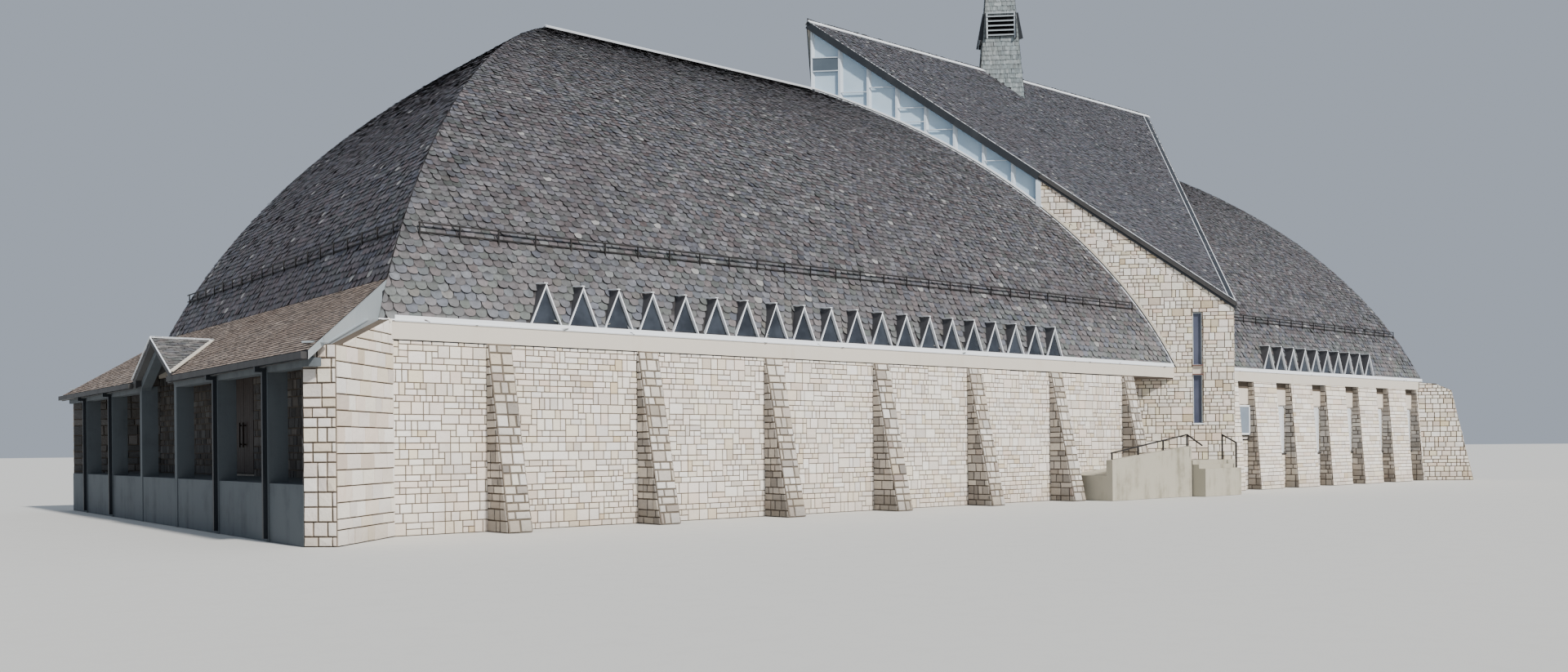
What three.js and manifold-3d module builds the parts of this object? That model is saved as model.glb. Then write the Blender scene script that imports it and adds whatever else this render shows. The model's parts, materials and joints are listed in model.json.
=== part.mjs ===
import * as THREE from 'three';
import { mergeVertices } from 'three/addons/utils/BufferGeometryUtils.js';
import Module from 'manifold-3d';

// A modern stone church: one long hipped vault of slate, a crossing roof turned 45 degrees through it,
// a spire on the crossing and a lean-to porch across the west front.
// Every size below is a size of the real building in millimetres. The exported group is a 1:2 model of it.

const modelScale = 0.5;

// Gap left between pieces that touch, and how far a cutting solid runs past what it cuts.
const gap = 0.8;
const overshoot = 50;
const far = 12000;

// Plan. x runs east from the west face, y runs north from the ridge, z runs up from the lowest ground.
const bodyLength = 52600;
const halfWidth = 9770;
const wallInset = 50;
const wallThickness = 500;
const beamDepth = 500;

// Levels.
const floorLevel = 1300;
const porchLevel = 1250;
const slabThickness = 250;
const beamBottom = 4420;
const beamTop = 4820;

// The vault: an arc of one radius rises from the ring beam to the ridge on all four sides.
const arcRadius = 19380;
const arcCentreInward = 18320;
const arcCentreHeight = -1500;
const shellThickness = 300;
const arcSteps = 12;
const arcExtraSteps = 4;

// The crossing roof: two straight slopes over a square turned 45 degrees.
const crossingCentre = 32700;
const crossingReach = 11450;
const crossingRidge = 18550;
const crossingCorner = 7250;
const crossingSlab = 280;
const crossingWallReach = 11350;
const crossingWallThickness = 450;
const nicheWall = 20;

// Clerestory glazing between the vault and the rakes of the crossing roof.
const clerestoryBays = 8;
const clerestoryEnd = 6260;
const clerestoryFrame = 110;
const clerestoryBar = 60;
const clerestoryInset = 60;
const clerestoryGlassEnd = 6240;
const clerestoryGlass = 30;

// Slot window in each west-facing crossing wall, measured along the wall from the outer corner.
const slotNear = 1160;
const slotFar = 1540;
const slotBottom = 2650;
const slotTop = 6910;
const slotPanelBottom = 4550;
const slotPanelTop = 4880;
const slotPaneInset = 120;
const slotPaneThickness = 40;
const slotPanelInset = 60;
const slotPanelThickness = 140;

// Buttresses of the nave.
const buttressFirst = 2645;
const buttressPitch = 4200;
const buttressCount = 7;
const buttressWidth = 600;
const buttressFoot = 1020;
const naveWallEnd = buttressFirst + (buttressCount - 1) * buttressPitch + buttressWidth;

// Recesses between the piers of the choir.
const recessFirst = 35650;
const recessPitch = 3020;
const recessCount = 6;
const recessWidth = 1200;
const recessDepth = 215;
const infillThickness = 300;
const pierFoot = 380;
const choirWindowWidth = 1060;
const choirWindowBottom = 1470;
const choirFirstWindowBottom = 2250;
const choirWindowTop = 3450;
const choirGlassThickness = 30;
const choirGlassLap = 100;

// Dormers.
const dormerWidth = 870;
const dormerSill = 4930;
const dormerPeak = 5950;
const dormerSkin = 45;
const dormerSillShare = 0.7;
const dormerPane = 30;
const dormerPaneInset = 90;
const dormerPaneLap = 5;
const dormerDepth = 900;
const dormerHoleInset = 110;
const dormerHoleDepth = 1800;
const flashing = 25;
const flashingLap = 30;
const flashingWestEnd = 380;
const flashingEastEnd = 20;
const flashingCrossingEnd = 60;
const naveDormers = { count: 20, first: 4200, pitch: 1036 };
const choirDormers = { count: 10, first: 38130, pitch: 995 };

// Snow guards.
const guardInward = 880;
const guardRail = 32;
const guardHeights = [75, 295];
const guardPostPitch = 1000;
const guardPostSetback = 20;
const guardPostSink = 120;
const guardEndPost = 300;
const naveGuard = [1350, 29700];
const choirGuard = [35650, 51500];

// Porch across the west front.
const porchFront = -2200;
const porchEave = -2350;
const porchEaveHeight = 3900;
const porchSlope = 0.7;
const porchRoofThickness = 180;
const porchFloorSetback = 20;
const porchTopReach = 900;
const porchEnd = 14000;
const lintelEnd = 11710;
const lintelSeat = 5;
const gableDepth = 1800;
const gableVoidDepth = 1720;
const gableMemberDepth = 200;
const gableMemberDrop = 40;
const porchSide = 9770;
const finPitch = 3630;
const finPlaces = [0.5, 1.5, 2.5];
const finWidth = 220;
const finDepth = 420;
const lintelDepth = 250;
const lintelBottom = 3620;
const lintelTop = 3800;
const gableHalf = 2030;
const gableFoot = 3980;
const gablePeak = 5020;
const gableInnerHalf = 1700;
const gableThickness = 170;
const gableInnerDrop = 34;
const sidePanelThickness = 65;
const sidePanelProud = 5;
const sidePanelDrop = 20;
const sidePanelBack = 200;
const sidePanelEnd = 2700;
const gutterDepth = 120;
const gutterBottom = 3740;
const gutterWall = 20;
const gutterDrop = 20;
const gutterEnd = 60;
const downpipeFoot = 60;
const downpipe = 90;

// Wing walls, splayed 45 degrees: two carry the ends of the porch, two stand at the east corners.
const westWingSouth = 10070;
const westWingThickness = 980;
const westWingEnd = 13410;
const westWingTopIn = 4840;
const westWingTopOut = 4080;
const westWingTopLength = 2450;
const wingBack = 900;
const eastWingThickness = 500;
const eastWingFoot = 2350;
const eastWingOutline = [[-220, 0], [eastWingFoot, 0], [1350, 4390], [620, 4720], [-220, 4800]];

// Main doorway.
const doorwayWidth = 1800;
const doorwayTop = 4150;
const leafThickness = 60;
const leafClearance = 14;
const leafRebate = 4;
const pivotRadius = 14;
const pullLength = 700;
const pullBar = 40;
const pullStandoff = 70;
const pullBottom = 2050;
const pullInset = 130;
const pullBracket = 40;
const pullBracketPlaces = [0.12, 0.88];
const pivotSides = 12;

// Side entrance at the south corner of nave and crossing.
const sideReturnDepth = 2700;
const sideNicheReach = 1400;
const sideDoorWidth = 1000;
const sideDoorTop = 3500;
const sideDoorNear = 8950;
const sideDoorThickness = 60;
const sideDoorInset = 140;
const sideCeiling = 50;
const rampStart = 24560;
const rampEnd = 29400;
const rampStartLevel = 850;
const parapetEnd = rampEnd - 60;
const parapetOuter = 11600;
const parapetWidth = 250;
const parapetHeight = 520;
const stairWest = 29400;
const stairEast = 31800;
const treadDepth = 255;
const treadCount = 3;
const railSize = 45;
const railInset = 150;
const railHeight = 950;
const parapetRailHeights = [230, 420];
const parapetRailPosts = 4;
const stairRailDrop = 400;
const stairRailInset = 80;
const stairRailBack = -70;
const railEndTreads = 1.9;
const stairRailTreads = 2.5;

// Spire.
const spireBase = 16400;
const spireBaseReach = 1500;
const spireTop = 29000;
const spireTopReach = 90;
const spireInnerTop = 25500;
const spireWall = 140;
const louvreBottom = 19980;
const louvreTop = 21050;
const louvreWidth = 1280;
const louvreSlats = 5;
const louvreProud = 110;
const slatThickness = 60;
const slatPlace = 0.3;
const louvrePostReach = 500;
const louvrePostInset = 10;

const wasm = await Module();
wasm.setup();

// Solids: a three.js geometry becomes a solid that can be joined and cut.

function toSolid(geometry) {
  const bare = geometry.clone();
  bare.deleteAttribute('normal');
  bare.deleteAttribute('uv');
  const merged = mergeVertices(bare, 1e-3);
  return new wasm.Manifold(new wasm.Mesh({
    numProp: 3,
    vertProperties: new Float32Array(merged.attributes.position.array),
    triVerts: new Uint32Array(merged.index.array),
  }));
}

function toGeometry(solid) {
  const mesh = solid.getMesh();
  const geometry = new THREE.BufferGeometry();
  geometry.setAttribute('position', new THREE.BufferAttribute(new Float32Array(mesh.vertProperties), 3));
  geometry.setIndex(new THREE.BufferAttribute(new Uint32Array(mesh.triVerts), 1));
  geometry.computeVertexNormals();
  return geometry;
}

function union(solids) {
  return solids.reduce((whole, solid) => whole.add(solid));
}

// The same solid on the other side of the ridge.
function mirrored(solid) {
  const mesh = solid.getMesh();
  const points = new Float32Array(mesh.vertProperties);
  for (let i = 1; i < points.length; i += 3) points[i] = -points[i];
  const triangles = new Uint32Array(mesh.triVerts);
  for (let i = 0; i < triangles.length; i += 3) {
    const second = triangles[i + 1];
    triangles[i + 1] = triangles[i + 2];
    triangles[i + 2] = second;
  }
  return new wasm.Manifold(new wasm.Mesh({ numProp: 3, vertProperties: points, triVerts: triangles }));
}

function box(x0, x1, y0, y1, z0, z1) {
  const geometry = new THREE.BoxGeometry(x1 - x0, y1 - y0, z1 - z0);
  geometry.translate((x0 + x1) / 2, (y0 + y1) / 2, (z0 + z1) / 2);
  return toSolid(geometry);
}

// A prism whose outline lies in the plane of two directions and which runs along the third.
function prism(outline, along, across, depthDirection, start, depth) {
  const area = THREE.ShapeUtils.area(outline.map(([u, v]) => new THREE.Vector2(u, v)));
  const ordered = area < 0 ? [...outline].reverse() : outline;
  const shape = new THREE.Shape(ordered.map(([u, v]) => new THREE.Vector2(u, v)));
  const geometry = new THREE.ExtrudeGeometry(shape, { depth, bevelEnabled: false });
  geometry.applyMatrix4(new THREE.Matrix4().makeBasis(along, across, depthDirection));
  geometry.translate(start.x, start.y, start.z);
  return toSolid(geometry);
}

const east = new THREE.Vector3(1, 0, 0);
const north = new THREE.Vector3(0, 1, 0);
const south = new THREE.Vector3(0, -1, 0);
const up = new THREE.Vector3(0, 0, 1);

// Outline in x and y, standing between two levels.
function standing(outline, z0, z1) {
  return prism(outline, east, north, up, new THREE.Vector3(0, 0, z0), z1 - z0);
}

// Outline in y and z, running east between two values of x.
function runningEast(outline, x0, x1) {
  return prism(outline, north, up, east, new THREE.Vector3(x0, 0, 0), x1 - x0);
}

// Outline in x and z, running north between two values of y.
function runningNorth(outline, y0, y1) {
  return prism(outline, east, up, south, new THREE.Vector3(0, y1, 0), y1 - y0);
}

// Outline along a diagonal and up, running to the right of that diagonal seen from above.
function alongDiagonal(outline, origin, direction, start, depth) {
  const right = new THREE.Vector3().crossVectors(direction, up);
  return prism(outline, direction, up, right, origin.clone().addScaledVector(right, start), depth);
}

// The vault and the crossing.

// Points of the arc as [distance inward, height], from the foot up to the ridge and a little past it.
function arcPoints(radius, footHeight, extraSteps) {
  const footAngle = Math.PI - Math.asin((footHeight - arcCentreHeight) / radius);
  const ridgeAngle = Math.PI - Math.acos((arcCentreInward - halfWidth) / radius);
  const stepAngle = (ridgeAngle - footAngle) / arcSteps;
  const points = [];
  for (let i = 0; i <= arcSteps + extraSteps; i += 1) {
    const angle = footAngle + i * stepAngle;
    points.push([arcCentreInward + radius * Math.cos(angle), arcCentreHeight + radius * Math.sin(angle)]);
  }
  return points;
}

function arcHeight(inward, radius = arcRadius) {
  return arcCentreHeight + Math.sqrt(radius ** 2 - (arcCentreInward - inward) ** 2);
}

// The closed form under an arc of the given radius on all four sides, down to a given level.
function vault(radius, footHeight, bottom) {
  const side = arcPoints(radius, footHeight, 0);
  const end = arcPoints(radius, footHeight, arcExtraSteps);
  const crossSection = [
    [side[0][0] - halfWidth, bottom],
    ...side.map(([d, z]) => [d - halfWidth, z]),
    ...side.slice(0, -1).reverse().map(([d, z]) => [halfWidth - d, z]),
    [halfWidth - side[0][0], bottom],
  ];
  const lengthSection = [
    [end[0][0], bottom],
    ...end,
    ...[...end].reverse().map(([d, z]) => [bodyLength - d, z]),
    [bodyLength - end[0][0], bottom],
  ];
  return runningEast(crossSection, -overshoot, bodyLength + overshoot)
    .intersect(runningNorth(lengthSection, -halfWidth - overshoot, halfWidth + overshoot));
}

const outerVault = vault(arcRadius, beamTop, 0);
const clearedVault = vault(arcRadius + gap, beamTop, 0);
const innerVault = vault(arcRadius - shellThickness, beamTop, beamTop - 200);
const shell = vault(arcRadius, beamTop + gap, beamTop + gap).subtract(innerVault);

const interiorHalf = halfWidth - wallInset - wallThickness;
const interior = box(
  wallInset + wallThickness, bodyLength - wallInset - wallThickness,
  -interiorHalf, interiorHalf, -overshoot, beamTop,
).add(innerVault);

// A square turned 45 degrees about the centre of the crossing.
function diamond(reach, z0, z1) {
  return standing([
    [crossingCentre - reach, 0],
    [crossingCentre, -reach],
    [crossingCentre + reach, 0],
    [crossingCentre, reach],
  ], z0, z1);
}

const crossingPitch = (crossingRidge - crossingCorner) / crossingReach;

// Everything below the top of the crossing roof, lowered by a drop.
function underCrossingRoof(drop) {
  const edge = crossingRidge - drop - crossingPitch * far;
  return runningEast(
    [[-far, -overshoot], [far, -overshoot], [far, edge], [0, crossingRidge - drop], [-far, edge]],
    crossingCentre - far, crossingCentre + far,
  );
}

const south45 = new THREE.Vector3(1, -1, 0).normalize();
const north45 = new THREE.Vector3(1, 1, 0).normalize();
const southWest = new THREE.Vector3(-1, -1, 0).normalize();

// Roof sheets: the shell is divided at the ridge, at the hips and at the crossing walls.

const sheetTop = 17000;

function sheet(outline) {
  return shell.intersect(standing(outline, beamBottom, sheetTop));
}

function naveRoofSide() {
  return sheet([
    [halfWidth, -gap],
    [halfWidth - far, -far],
    [crossingCentre, -far],
    [crossingCentre, -gap],
  ]).subtract(crossingFootprint());
}

function naveRoofWest() {
  return sheet([[halfWidth - gap, 0], [halfWidth - gap - far, far], [halfWidth - gap - far, -far]]);
}

function choirRoofSide() {
  const hip = bodyLength - halfWidth - gap;
  return sheet([[crossingCentre, -gap], [crossingCentre, -far], [hip + far, -far], [hip, -gap]])
    .subtract(crossingFootprint());
}

function choirRoofEast() {
  const hip = bodyLength - halfWidth + gap;
  return sheet([[hip, 0], [hip + far, -far], [hip + far, far]]).subtract(crossingFootprint());
}

function crossingFootprint() {
  return diamond(crossingWallReach + 1.5 * gap, 0, sheetTop);
}

// Dormers.

function dormerTriangle(centre, inset) {
  const half = dormerWidth / 2 - inset;
  const rise = (dormerPeak - dormerSill) * (half / (dormerWidth / 2));
  const base = dormerSill + inset * dormerSillShare;
  return [[centre - half, base], [centre + half, base], [centre, base + rise]];
}

function dormerCentres({ count, first, pitch }) {
  return Array.from({ length: count }, (_, i) => first + i * pitch);
}

function dormerHoles(group) {
  return union(dormerCentres(group).map((centre) => runningNorth(
    dormerTriangle(centre, dormerHoleInset), -halfWidth - overshoot, -halfWidth + dormerHoleDepth,
  )));
}

// A row of dormers with panes, carried by the flashing strip along the foot of the roof.
function dormers(group, stripStart, stripEnd) {
  const face = -halfWidth - flashing;
  const strip = box(stripStart, stripEnd, face, -halfWidth, beamTop + gap, dormerSill + flashingLap);
  const parts = dormerCentres(group).map((centre) => {
    const back = -halfWidth + dormerDepth;
    const outer = runningNorth(dormerTriangle(centre, 0), face, back);
    const inner = runningNorth(dormerTriangle(centre, dormerSkin), face - overshoot, back + overshoot);
    const paneFace = face + dormerPaneInset;
    const pane = runningNorth(
      dormerTriangle(centre, dormerSkin - dormerPaneLap), paneFace, paneFace + dormerPane,
    );
    return outer.subtract(inner).add(pane).subtract(clearedVault);
  });
  return union([strip.subtract(clearedVault), ...parts]);
}

// Walls.

const wallFace = halfWidth - wallInset;
const wallTop = beamBottom - gap;

// Profile in y and z of something battered that stands against a south wall face.
function battered(face, topProud, footProud) {
  const back = -face + 2 * overshoot;
  return [[back, 0], [-face - footProud, 0], [-face - topProud, wallTop], [back, wallTop]];
}

function buttresses() {
  return Array.from({ length: buttressCount }, (_, i) => {
    const start = buttressFirst + i * buttressPitch;
    return runningEast(battered(wallFace, wallInset, buttressFoot), start, start + buttressWidth);
  });
}

// How far along the ridge the crossing wall meets the side of the vault, with room for the flashing.
const crossingWallAtSide = crossingWallReach - halfWidth + flashingCrossingEnd;

// The nave wall that ends at the side entrance, with the return wall and its doorway.
function naveWallSouth() {
  const wall = box(wallInset, naveWallEnd, -wallFace, -wallFace + wallThickness, 0, wallTop);
  const returnWall = box(
    naveWallEnd - wallThickness, naveWallEnd, -wallFace, -wallFace + sideReturnDepth, 0, wallTop,
  );
  const doorway = box(
    naveWallEnd - wallThickness - overshoot, naveWallEnd + overshoot,
    -sideDoorNear, -sideDoorNear + sideDoorWidth,
    floorLevel - slabThickness - gap, sideDoorTop,
  );
  return union([wall, ...buttresses(), returnWall]).subtract(doorway).subtract(crossingCut());
}

// The nave wall on the other side runs on to the crossing wall.
function naveWallNorth() {
  const wall = box(wallInset, crossingCentre, -wallFace, -wallFace + wallThickness, 0, wallTop);
  return mirrored(union([wall, ...buttresses()]).subtract(crossingCut()));
}

function crossingCut() {
  return diamond(crossingWallReach + 1.5 * gap, -overshoot, beamBottom + overshoot);
}

function choirWall() {
  const start = crossingCentre;
  const end = bodyLength - wallInset - wallThickness - gap;
  const infillFace = -wallFace + recessDepth;
  const infill = box(start, end, infillFace, infillFace + infillThickness, 0, wallTop);
  const edges = [start];
  for (let i = 0; i < recessCount; i += 1) {
    edges.push(recessFirst + i * recessPitch, recessFirst + i * recessPitch + recessWidth);
  }
  edges.push(end);
  const behind = recessDepth + overshoot;
  const profile = battered(wallFace - behind, behind + wallInset, behind + pierFoot);
  const piers = [];
  for (let i = 0; i < edges.length; i += 2) piers.push(runningEast(profile, edges[i], edges[i + 1]));
  const windows = [];
  for (let i = 0; i < recessCount; i += 1) {
    const centre = recessFirst + i * recessPitch + recessWidth / 2;
    windows.push(box(
      centre - choirWindowWidth / 2, centre + choirWindowWidth / 2,
      infillFace - overshoot, infillFace + infillThickness + overshoot,
      i === 0 ? choirFirstWindowBottom : choirWindowBottom, choirWindowTop,
    ));
  }
  return union([infill, ...piers]).subtract(union(windows)).subtract(crossingCut());
}

// One sheet of glass behind the row of choir windows.
function choirGlass() {
  const inside = -wallFace + recessDepth + infillThickness + gap;
  return box(
    recessFirst, recessFirst + (recessCount - 1) * recessPitch + recessWidth,
    inside, inside + choirGlassThickness,
    choirWindowBottom - choirGlassLap, choirWindowTop + choirGlassLap,
  );
}

function choirWallEast() {
  const inner = bodyLength - wallInset - wallThickness;
  const outer = bodyLength - wallInset;
  const back = outer - 2 * overshoot;
  const wall = box(inner, outer, -wallFace, wallFace, 0, wallTop);
  const eastButtresses = [-1.5, -0.5, 0.5, 1.5].map((place) => {
    const centre = place * buttressPitch;
    const profile = [
      [back, 0], [outer + buttressFoot, 0], [outer + wallInset, wallTop], [back, wallTop],
    ];
    return runningNorth(profile, centre - buttressWidth / 2, centre + buttressWidth / 2);
  });
  const beam = box(
    inner - overshoot, bodyLength + gap, -halfWidth - gap, halfWidth + gap, wallTop, dormerPeak,
  );
  const wing = alongDiagonal(
    eastWingOutline, new THREE.Vector3(outer, -wallFace, 0), south45,
    -eastWingThickness / 2, eastWingThickness,
  ).subtract(beam);
  return union([wall, ...eastButtresses, wing, mirrored(wing)]);
}

// West front: one wall each side of the doorway and one over it.
function frontWallSouth() {
  return box(
    wallInset, wallInset + wallThickness, -wallFace + wallThickness + gap, -doorwayWidth / 2, 0, wallTop,
  );
}

function frontWallOverDoor() {
  return box(
    wallInset, wallInset + wallThickness,
    -doorwayWidth / 2 + gap, doorwayWidth / 2 - gap, doorwayTop, wallTop,
  );
}

// Splayed wall at the south end of the porch. Its top follows the lean-to roof.
function frontWingWallSouth() {
  const inner = westWingSouth - westWingThickness;
  const outline = [
    [westWingSouth - wallFace, -wallFace - gap],
    [(westWingSouth - westWingEnd) / 2, -(westWingSouth + westWingEnd) / 2],
    [(inner - westWingEnd) / 2, -(inner + westWingEnd) / 2],
    [wallInset - gap, wallInset - inner],
    [wallInset - gap, -wallFace - gap],
  ];
  const beam = box(-gap, far, -halfWidth - gap, 0, wallTop, dormerPeak);
  return standing(outline, 0, dormerPeak)
    .intersect(frontWingTopBlock(0))
    .subtract(beam)
    .subtract(aboveLeanTo(porchRoofThickness + gap))
    .subtract(clearedVaultAboveBeam());
}

function clearedVaultAboveBeam() {
  return clearedVault.intersect(box(-far, bodyLength + far, -far, far, beamTop, sheetTop));
}

// Ring beams.

function ringBeam() {
  return box(0, bodyLength, -halfWidth, halfWidth, beamBottom, beamTop).subtract(box(
    beamDepth, bodyLength - beamDepth, -halfWidth + beamDepth, halfWidth - beamDepth,
    beamBottom - overshoot, beamTop + overshoot,
  )).subtract(diamond(crossingWallReach + 1.5 * gap, beamBottom - overshoot, beamTop + overshoot));
}

function naveRingBeam() {
  return ringBeam().intersect(box(-overshoot, crossingCentre, -far, far, 0, sheetTop));
}

function choirRingBeam() {
  return ringBeam().intersect(box(crossingCentre, bodyLength + overshoot, -far, far, 0, sheetTop));
}

// Crossing.

const crossingInnerReach = crossingWallReach - crossingWallThickness * Math.SQRT2;

function crossingWallRing() {
  return diamond(crossingWallReach, 0, crossingRidge)
    .subtract(diamond(crossingInnerReach, -overshoot, crossingRidge + overshoot))
    .intersect(underCrossingRoof(crossingSlab + gap));
}

// Glazed part of a crossing wall: near the prow, above the vault.
function glazedZone() {
  const end = clerestoryEnd + gap;
  return box(crossingCentre - far, crossingCentre + far, -end, end, beamTop, crossingRidge)
    .subtract(outerVault);
}

// The masonry of one side of the crossing: two walls that meet at the outer corner, with the kerb under
// the glazing. The side entrance keeps the lower part of one wall that the interior would clear.
function crossingWallSouth(withEntrance) {
  const half = crossingWallRing()
    .intersect(box(crossingCentre - far, crossingCentre + far, -far, -gap, 0, sheetTop));
  const walls = half.subtract(interior).subtract(glazedZone()).subtract(slotHole());
  if (!withEntrance) return walls;
  const besideEntrance = box(
    naveWallEnd + gap, crossingCentre, -interiorHalf - nicheWall, -wallFace + sideReturnDepth, 0, wallTop,
  ).intersect(half);
  return walls.add(besideEntrance);
}

function slotHole() {
  const corner = new THREE.Vector3(crossingCentre, -crossingWallReach, 0);
  const alongWall = new THREE.Vector3(-1, 1, 0).normalize();
  return alongDiagonal(
    [[slotNear, slotBottom], [slotFar, slotBottom], [slotFar, slotTop], [slotNear, slotTop]],
    corner, alongWall, -2 * overshoot, crossingWallThickness + wallThickness,
  );
}

// Two panes with a panel between them, as one unit set in the middle of the slot.
function crossingWindow() {
  const corner = new THREE.Vector3(crossingCentre, -crossingWallReach, 0);
  const alongWall = new THREE.Vector3(-1, 1, 0).normalize();
  const plate = (z0, z1, start, depth) => alongDiagonal(
    [[slotNear + gap, z0], [slotFar - gap, z0], [slotFar - gap, z1], [slotNear + gap, z1]],
    corner, alongWall, start, depth,
  );
  const panes = plate(slotBottom + gap, slotTop - gap, slotPaneInset, slotPaneThickness);
  const panel = plate(slotPanelBottom, slotPanelTop, slotPanelInset, slotPanelThickness);
  return panes.add(panel);
}

function crossingRoofSouth() {
  const plan = standing([
    [crossingCentre - crossingReach, -gap / 2],
    [crossingCentre, -crossingReach],
    [crossingCentre + crossingReach, -gap / 2],
  ], 0, crossingRidge + overshoot);
  return plan.intersect(underCrossingRoof(0)).subtract(underCrossingRoof(crossingSlab));
}

// Bars of the glazing on both sides of one prow: rails under the rake and on the vault, and mullions.
function clerestoryFrameWest() {
  const outerReach = crossingWallReach - clerestoryInset;
  const end = clerestoryEnd - gap;
  const ring = diamond(outerReach, beamTop, crossingRidge).subtract(diamond(
    outerReach - clerestoryFrame * Math.SQRT2, beamTop - overshoot, crossingRidge + overshoot,
  ));
  const west = box(crossingCentre - far, crossingCentre - clerestoryInset, -end, end, beamTop, crossingRidge);
  const zone = ring.intersect(west).intersect(underCrossingRoof(crossingSlab + gap)).subtract(clearedVault);
  const openings = [];
  const bay = clerestoryEnd / clerestoryBays;
  for (let i = -clerestoryBays; i < clerestoryBays; i += 1) {
    const y0 = i * bay + clerestoryBar / 2;
    const y1 = (i + 1) * bay - clerestoryBar / 2;
    openings.push(box(crossingCentre - far, crossingCentre, y0, y1, beamTop, crossingRidge));
  }
  const clear = union(openings)
    .intersect(underCrossingRoof(crossingSlab + gap + clerestoryBar * Math.SQRT2))
    .subtract(vault(arcRadius + clerestoryBar, beamTop, 0));
  return zone.subtract(clear);
}

// One folded sheet of glass behind the bars of a prow.
function clerestoryGlassWest() {
  const outerReach = crossingWallReach - clerestoryInset - (clerestoryFrame + gap) * Math.SQRT2;
  const ring = diamond(outerReach, beamTop, crossingRidge).subtract(diamond(
    outerReach - clerestoryGlass * Math.SQRT2, beamTop - overshoot, crossingRidge + overshoot,
  ));
  const west = box(
    crossingCentre - far, crossingCentre - clerestoryFrame,
    -clerestoryGlassEnd, clerestoryGlassEnd, beamTop, crossingRidge,
  );
  return ring.intersect(west).intersect(underCrossingRoof(crossingSlab + gap)).subtract(clearedVault);
}

// The same piece turned round to the east prow.
function turnedEast(solid) {
  const mesh = solid.getMesh();
  const points = new Float32Array(mesh.vertProperties);
  for (let i = 0; i < points.length; i += 3) {
    points[i] = 2 * crossingCentre - points[i];
    points[i + 1] = -points[i + 1];
  }
  return new wasm.Manifold(new wasm.Mesh({
    numProp: 3, vertProperties: points, triVerts: new Uint32Array(mesh.triVerts),
  }));
}

// Spire.

// A square frustum turned 45 degrees, given by its reach to the corners at two levels.
function frustum(reach0, z0, reach1, z1) {
  const geometry = new THREE.CylinderGeometry(reach1, reach0, z1 - z0, 4, 1);
  geometry.rotateX(Math.PI / 2);
  geometry.translate(crossingCentre, 0, (z0 + z1) / 2);
  return toSolid(geometry);
}

function spireReach(height) {
  const part = (height - spireBase) / (spireTop - spireBase);
  return spireBaseReach + (spireTopReach - spireBaseReach) * part;
}

function louvreHoles() {
  const half = louvreWidth / 2;
  const outline = [[-half, louvreBottom], [half, louvreBottom], [half, louvreTop], [-half, louvreTop]];
  const centre = new THREE.Vector3(crossingCentre, 0, 0);
  return union([south45, north45].map(
    (direction) => alongDiagonal(outline, centre, direction, -spireBaseReach, 2 * spireBaseReach),
  ));
}

function spireShaft() {
  const inner = frustum(
    spireReach(spireBase) - spireWall * Math.SQRT2, spireBase - overshoot,
    spireReach(spireInnerTop) - spireWall * Math.SQRT2, spireInnerTop,
  );
  return frustum(spireBaseReach, spireBase, spireTopReach, spireTop)
    .subtract(inner)
    .subtract(louvreHoles())
    .subtract(underCrossingRoof(-gap));
}

// Slats that stand proud of all four sides, carried by a post in the middle of the shaft.
function spireLouvres() {
  const pitch = (louvreTop - louvreBottom) / louvreSlats;
  const half = louvreWidth / 2 - gap;
  const centre = new THREE.Vector3(crossingCentre, 0, 0);
  const slats = [];
  for (let i = 0; i < louvreSlats; i += 1) {
    const level = louvreBottom + (i + slatPlace) * pitch;
    const top = level + slatThickness;
    const reach = spireReach(level) / Math.SQRT2 + louvreProud;
    const profile = [[-half, level], [half, level], [half, top], [-half, top]];
    [south45, north45].forEach((direction) => {
      slats.push(alongDiagonal(profile, centre, direction, -reach, 2 * reach));
    });
  }
  const post = frustum(
    louvrePostReach, louvreBottom + louvrePostInset, louvrePostReach, louvreTop - louvrePostInset,
  );
  return union([post, ...slats]);
}

// Snow guards: two rails on short posts.

function guardAlongSouth(x0, x1) {
  const y = -halfWidth + guardInward;
  const foot = arcHeight(guardInward);
  const parts = guardHeights.map((height) => box(
    x0, x1, y - guardRail / 2, y + guardRail / 2, foot + height, foot + height + guardRail,
  ));
  const count = Math.round((x1 - x0) / guardPostPitch);
  for (let i = 0; i <= count; i += 1) {
    const x = x0 + guardRail / 2 + ((x1 - x0 - guardRail) * i) / count;
    parts.push(box(
      x - guardRail / 2, x + guardRail / 2,
      y - guardRail / 2 - guardPostSetback, y + guardRail / 2 - guardPostSetback,
      foot - guardPostSink, foot + guardHeights[1] + guardRail,
    ));
  }
  return union(parts).subtract(clearedVault);
}

function guardWest() {
  const x = guardInward;
  const reach = halfWidth - guardInward;
  const foot = arcHeight(guardInward);
  const parts = guardHeights.map((height) => box(
    x - guardRail / 2, x + guardRail / 2, -reach, reach, foot + height, foot + height + guardRail,
  ));
  const count = Math.round((2 * reach) / guardPostPitch);
  for (let i = 0; i <= count; i += 1) {
    const y = -reach + guardEndPost + (2 * (reach - guardEndPost) * i) / count;
    parts.push(box(
      x - guardRail / 2 - guardPostSetback, x + guardRail / 2 - guardPostSetback,
      y - guardRail / 2, y + guardRail / 2,
      foot - guardPostSink, foot + guardHeights[1] + guardRail,
    ));
  }
  return union(parts).subtract(clearedVault);
}

// Porch.

function leanToTop(x) {
  return porchEaveHeight + porchSlope * (x - porchEave);
}

// Everything above the lean-to roof, or above a plane lowered from its top.
function aboveLeanTo(drop) {
  const x0 = porchEave - overshoot;
  return runningNorth([
    [x0, leanToTop(x0) - drop],
    [far, leanToTop(far) - drop],
    [far, 2 * far],
    [x0, 2 * far],
  ], -porchEnd, porchEnd);
}

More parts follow.
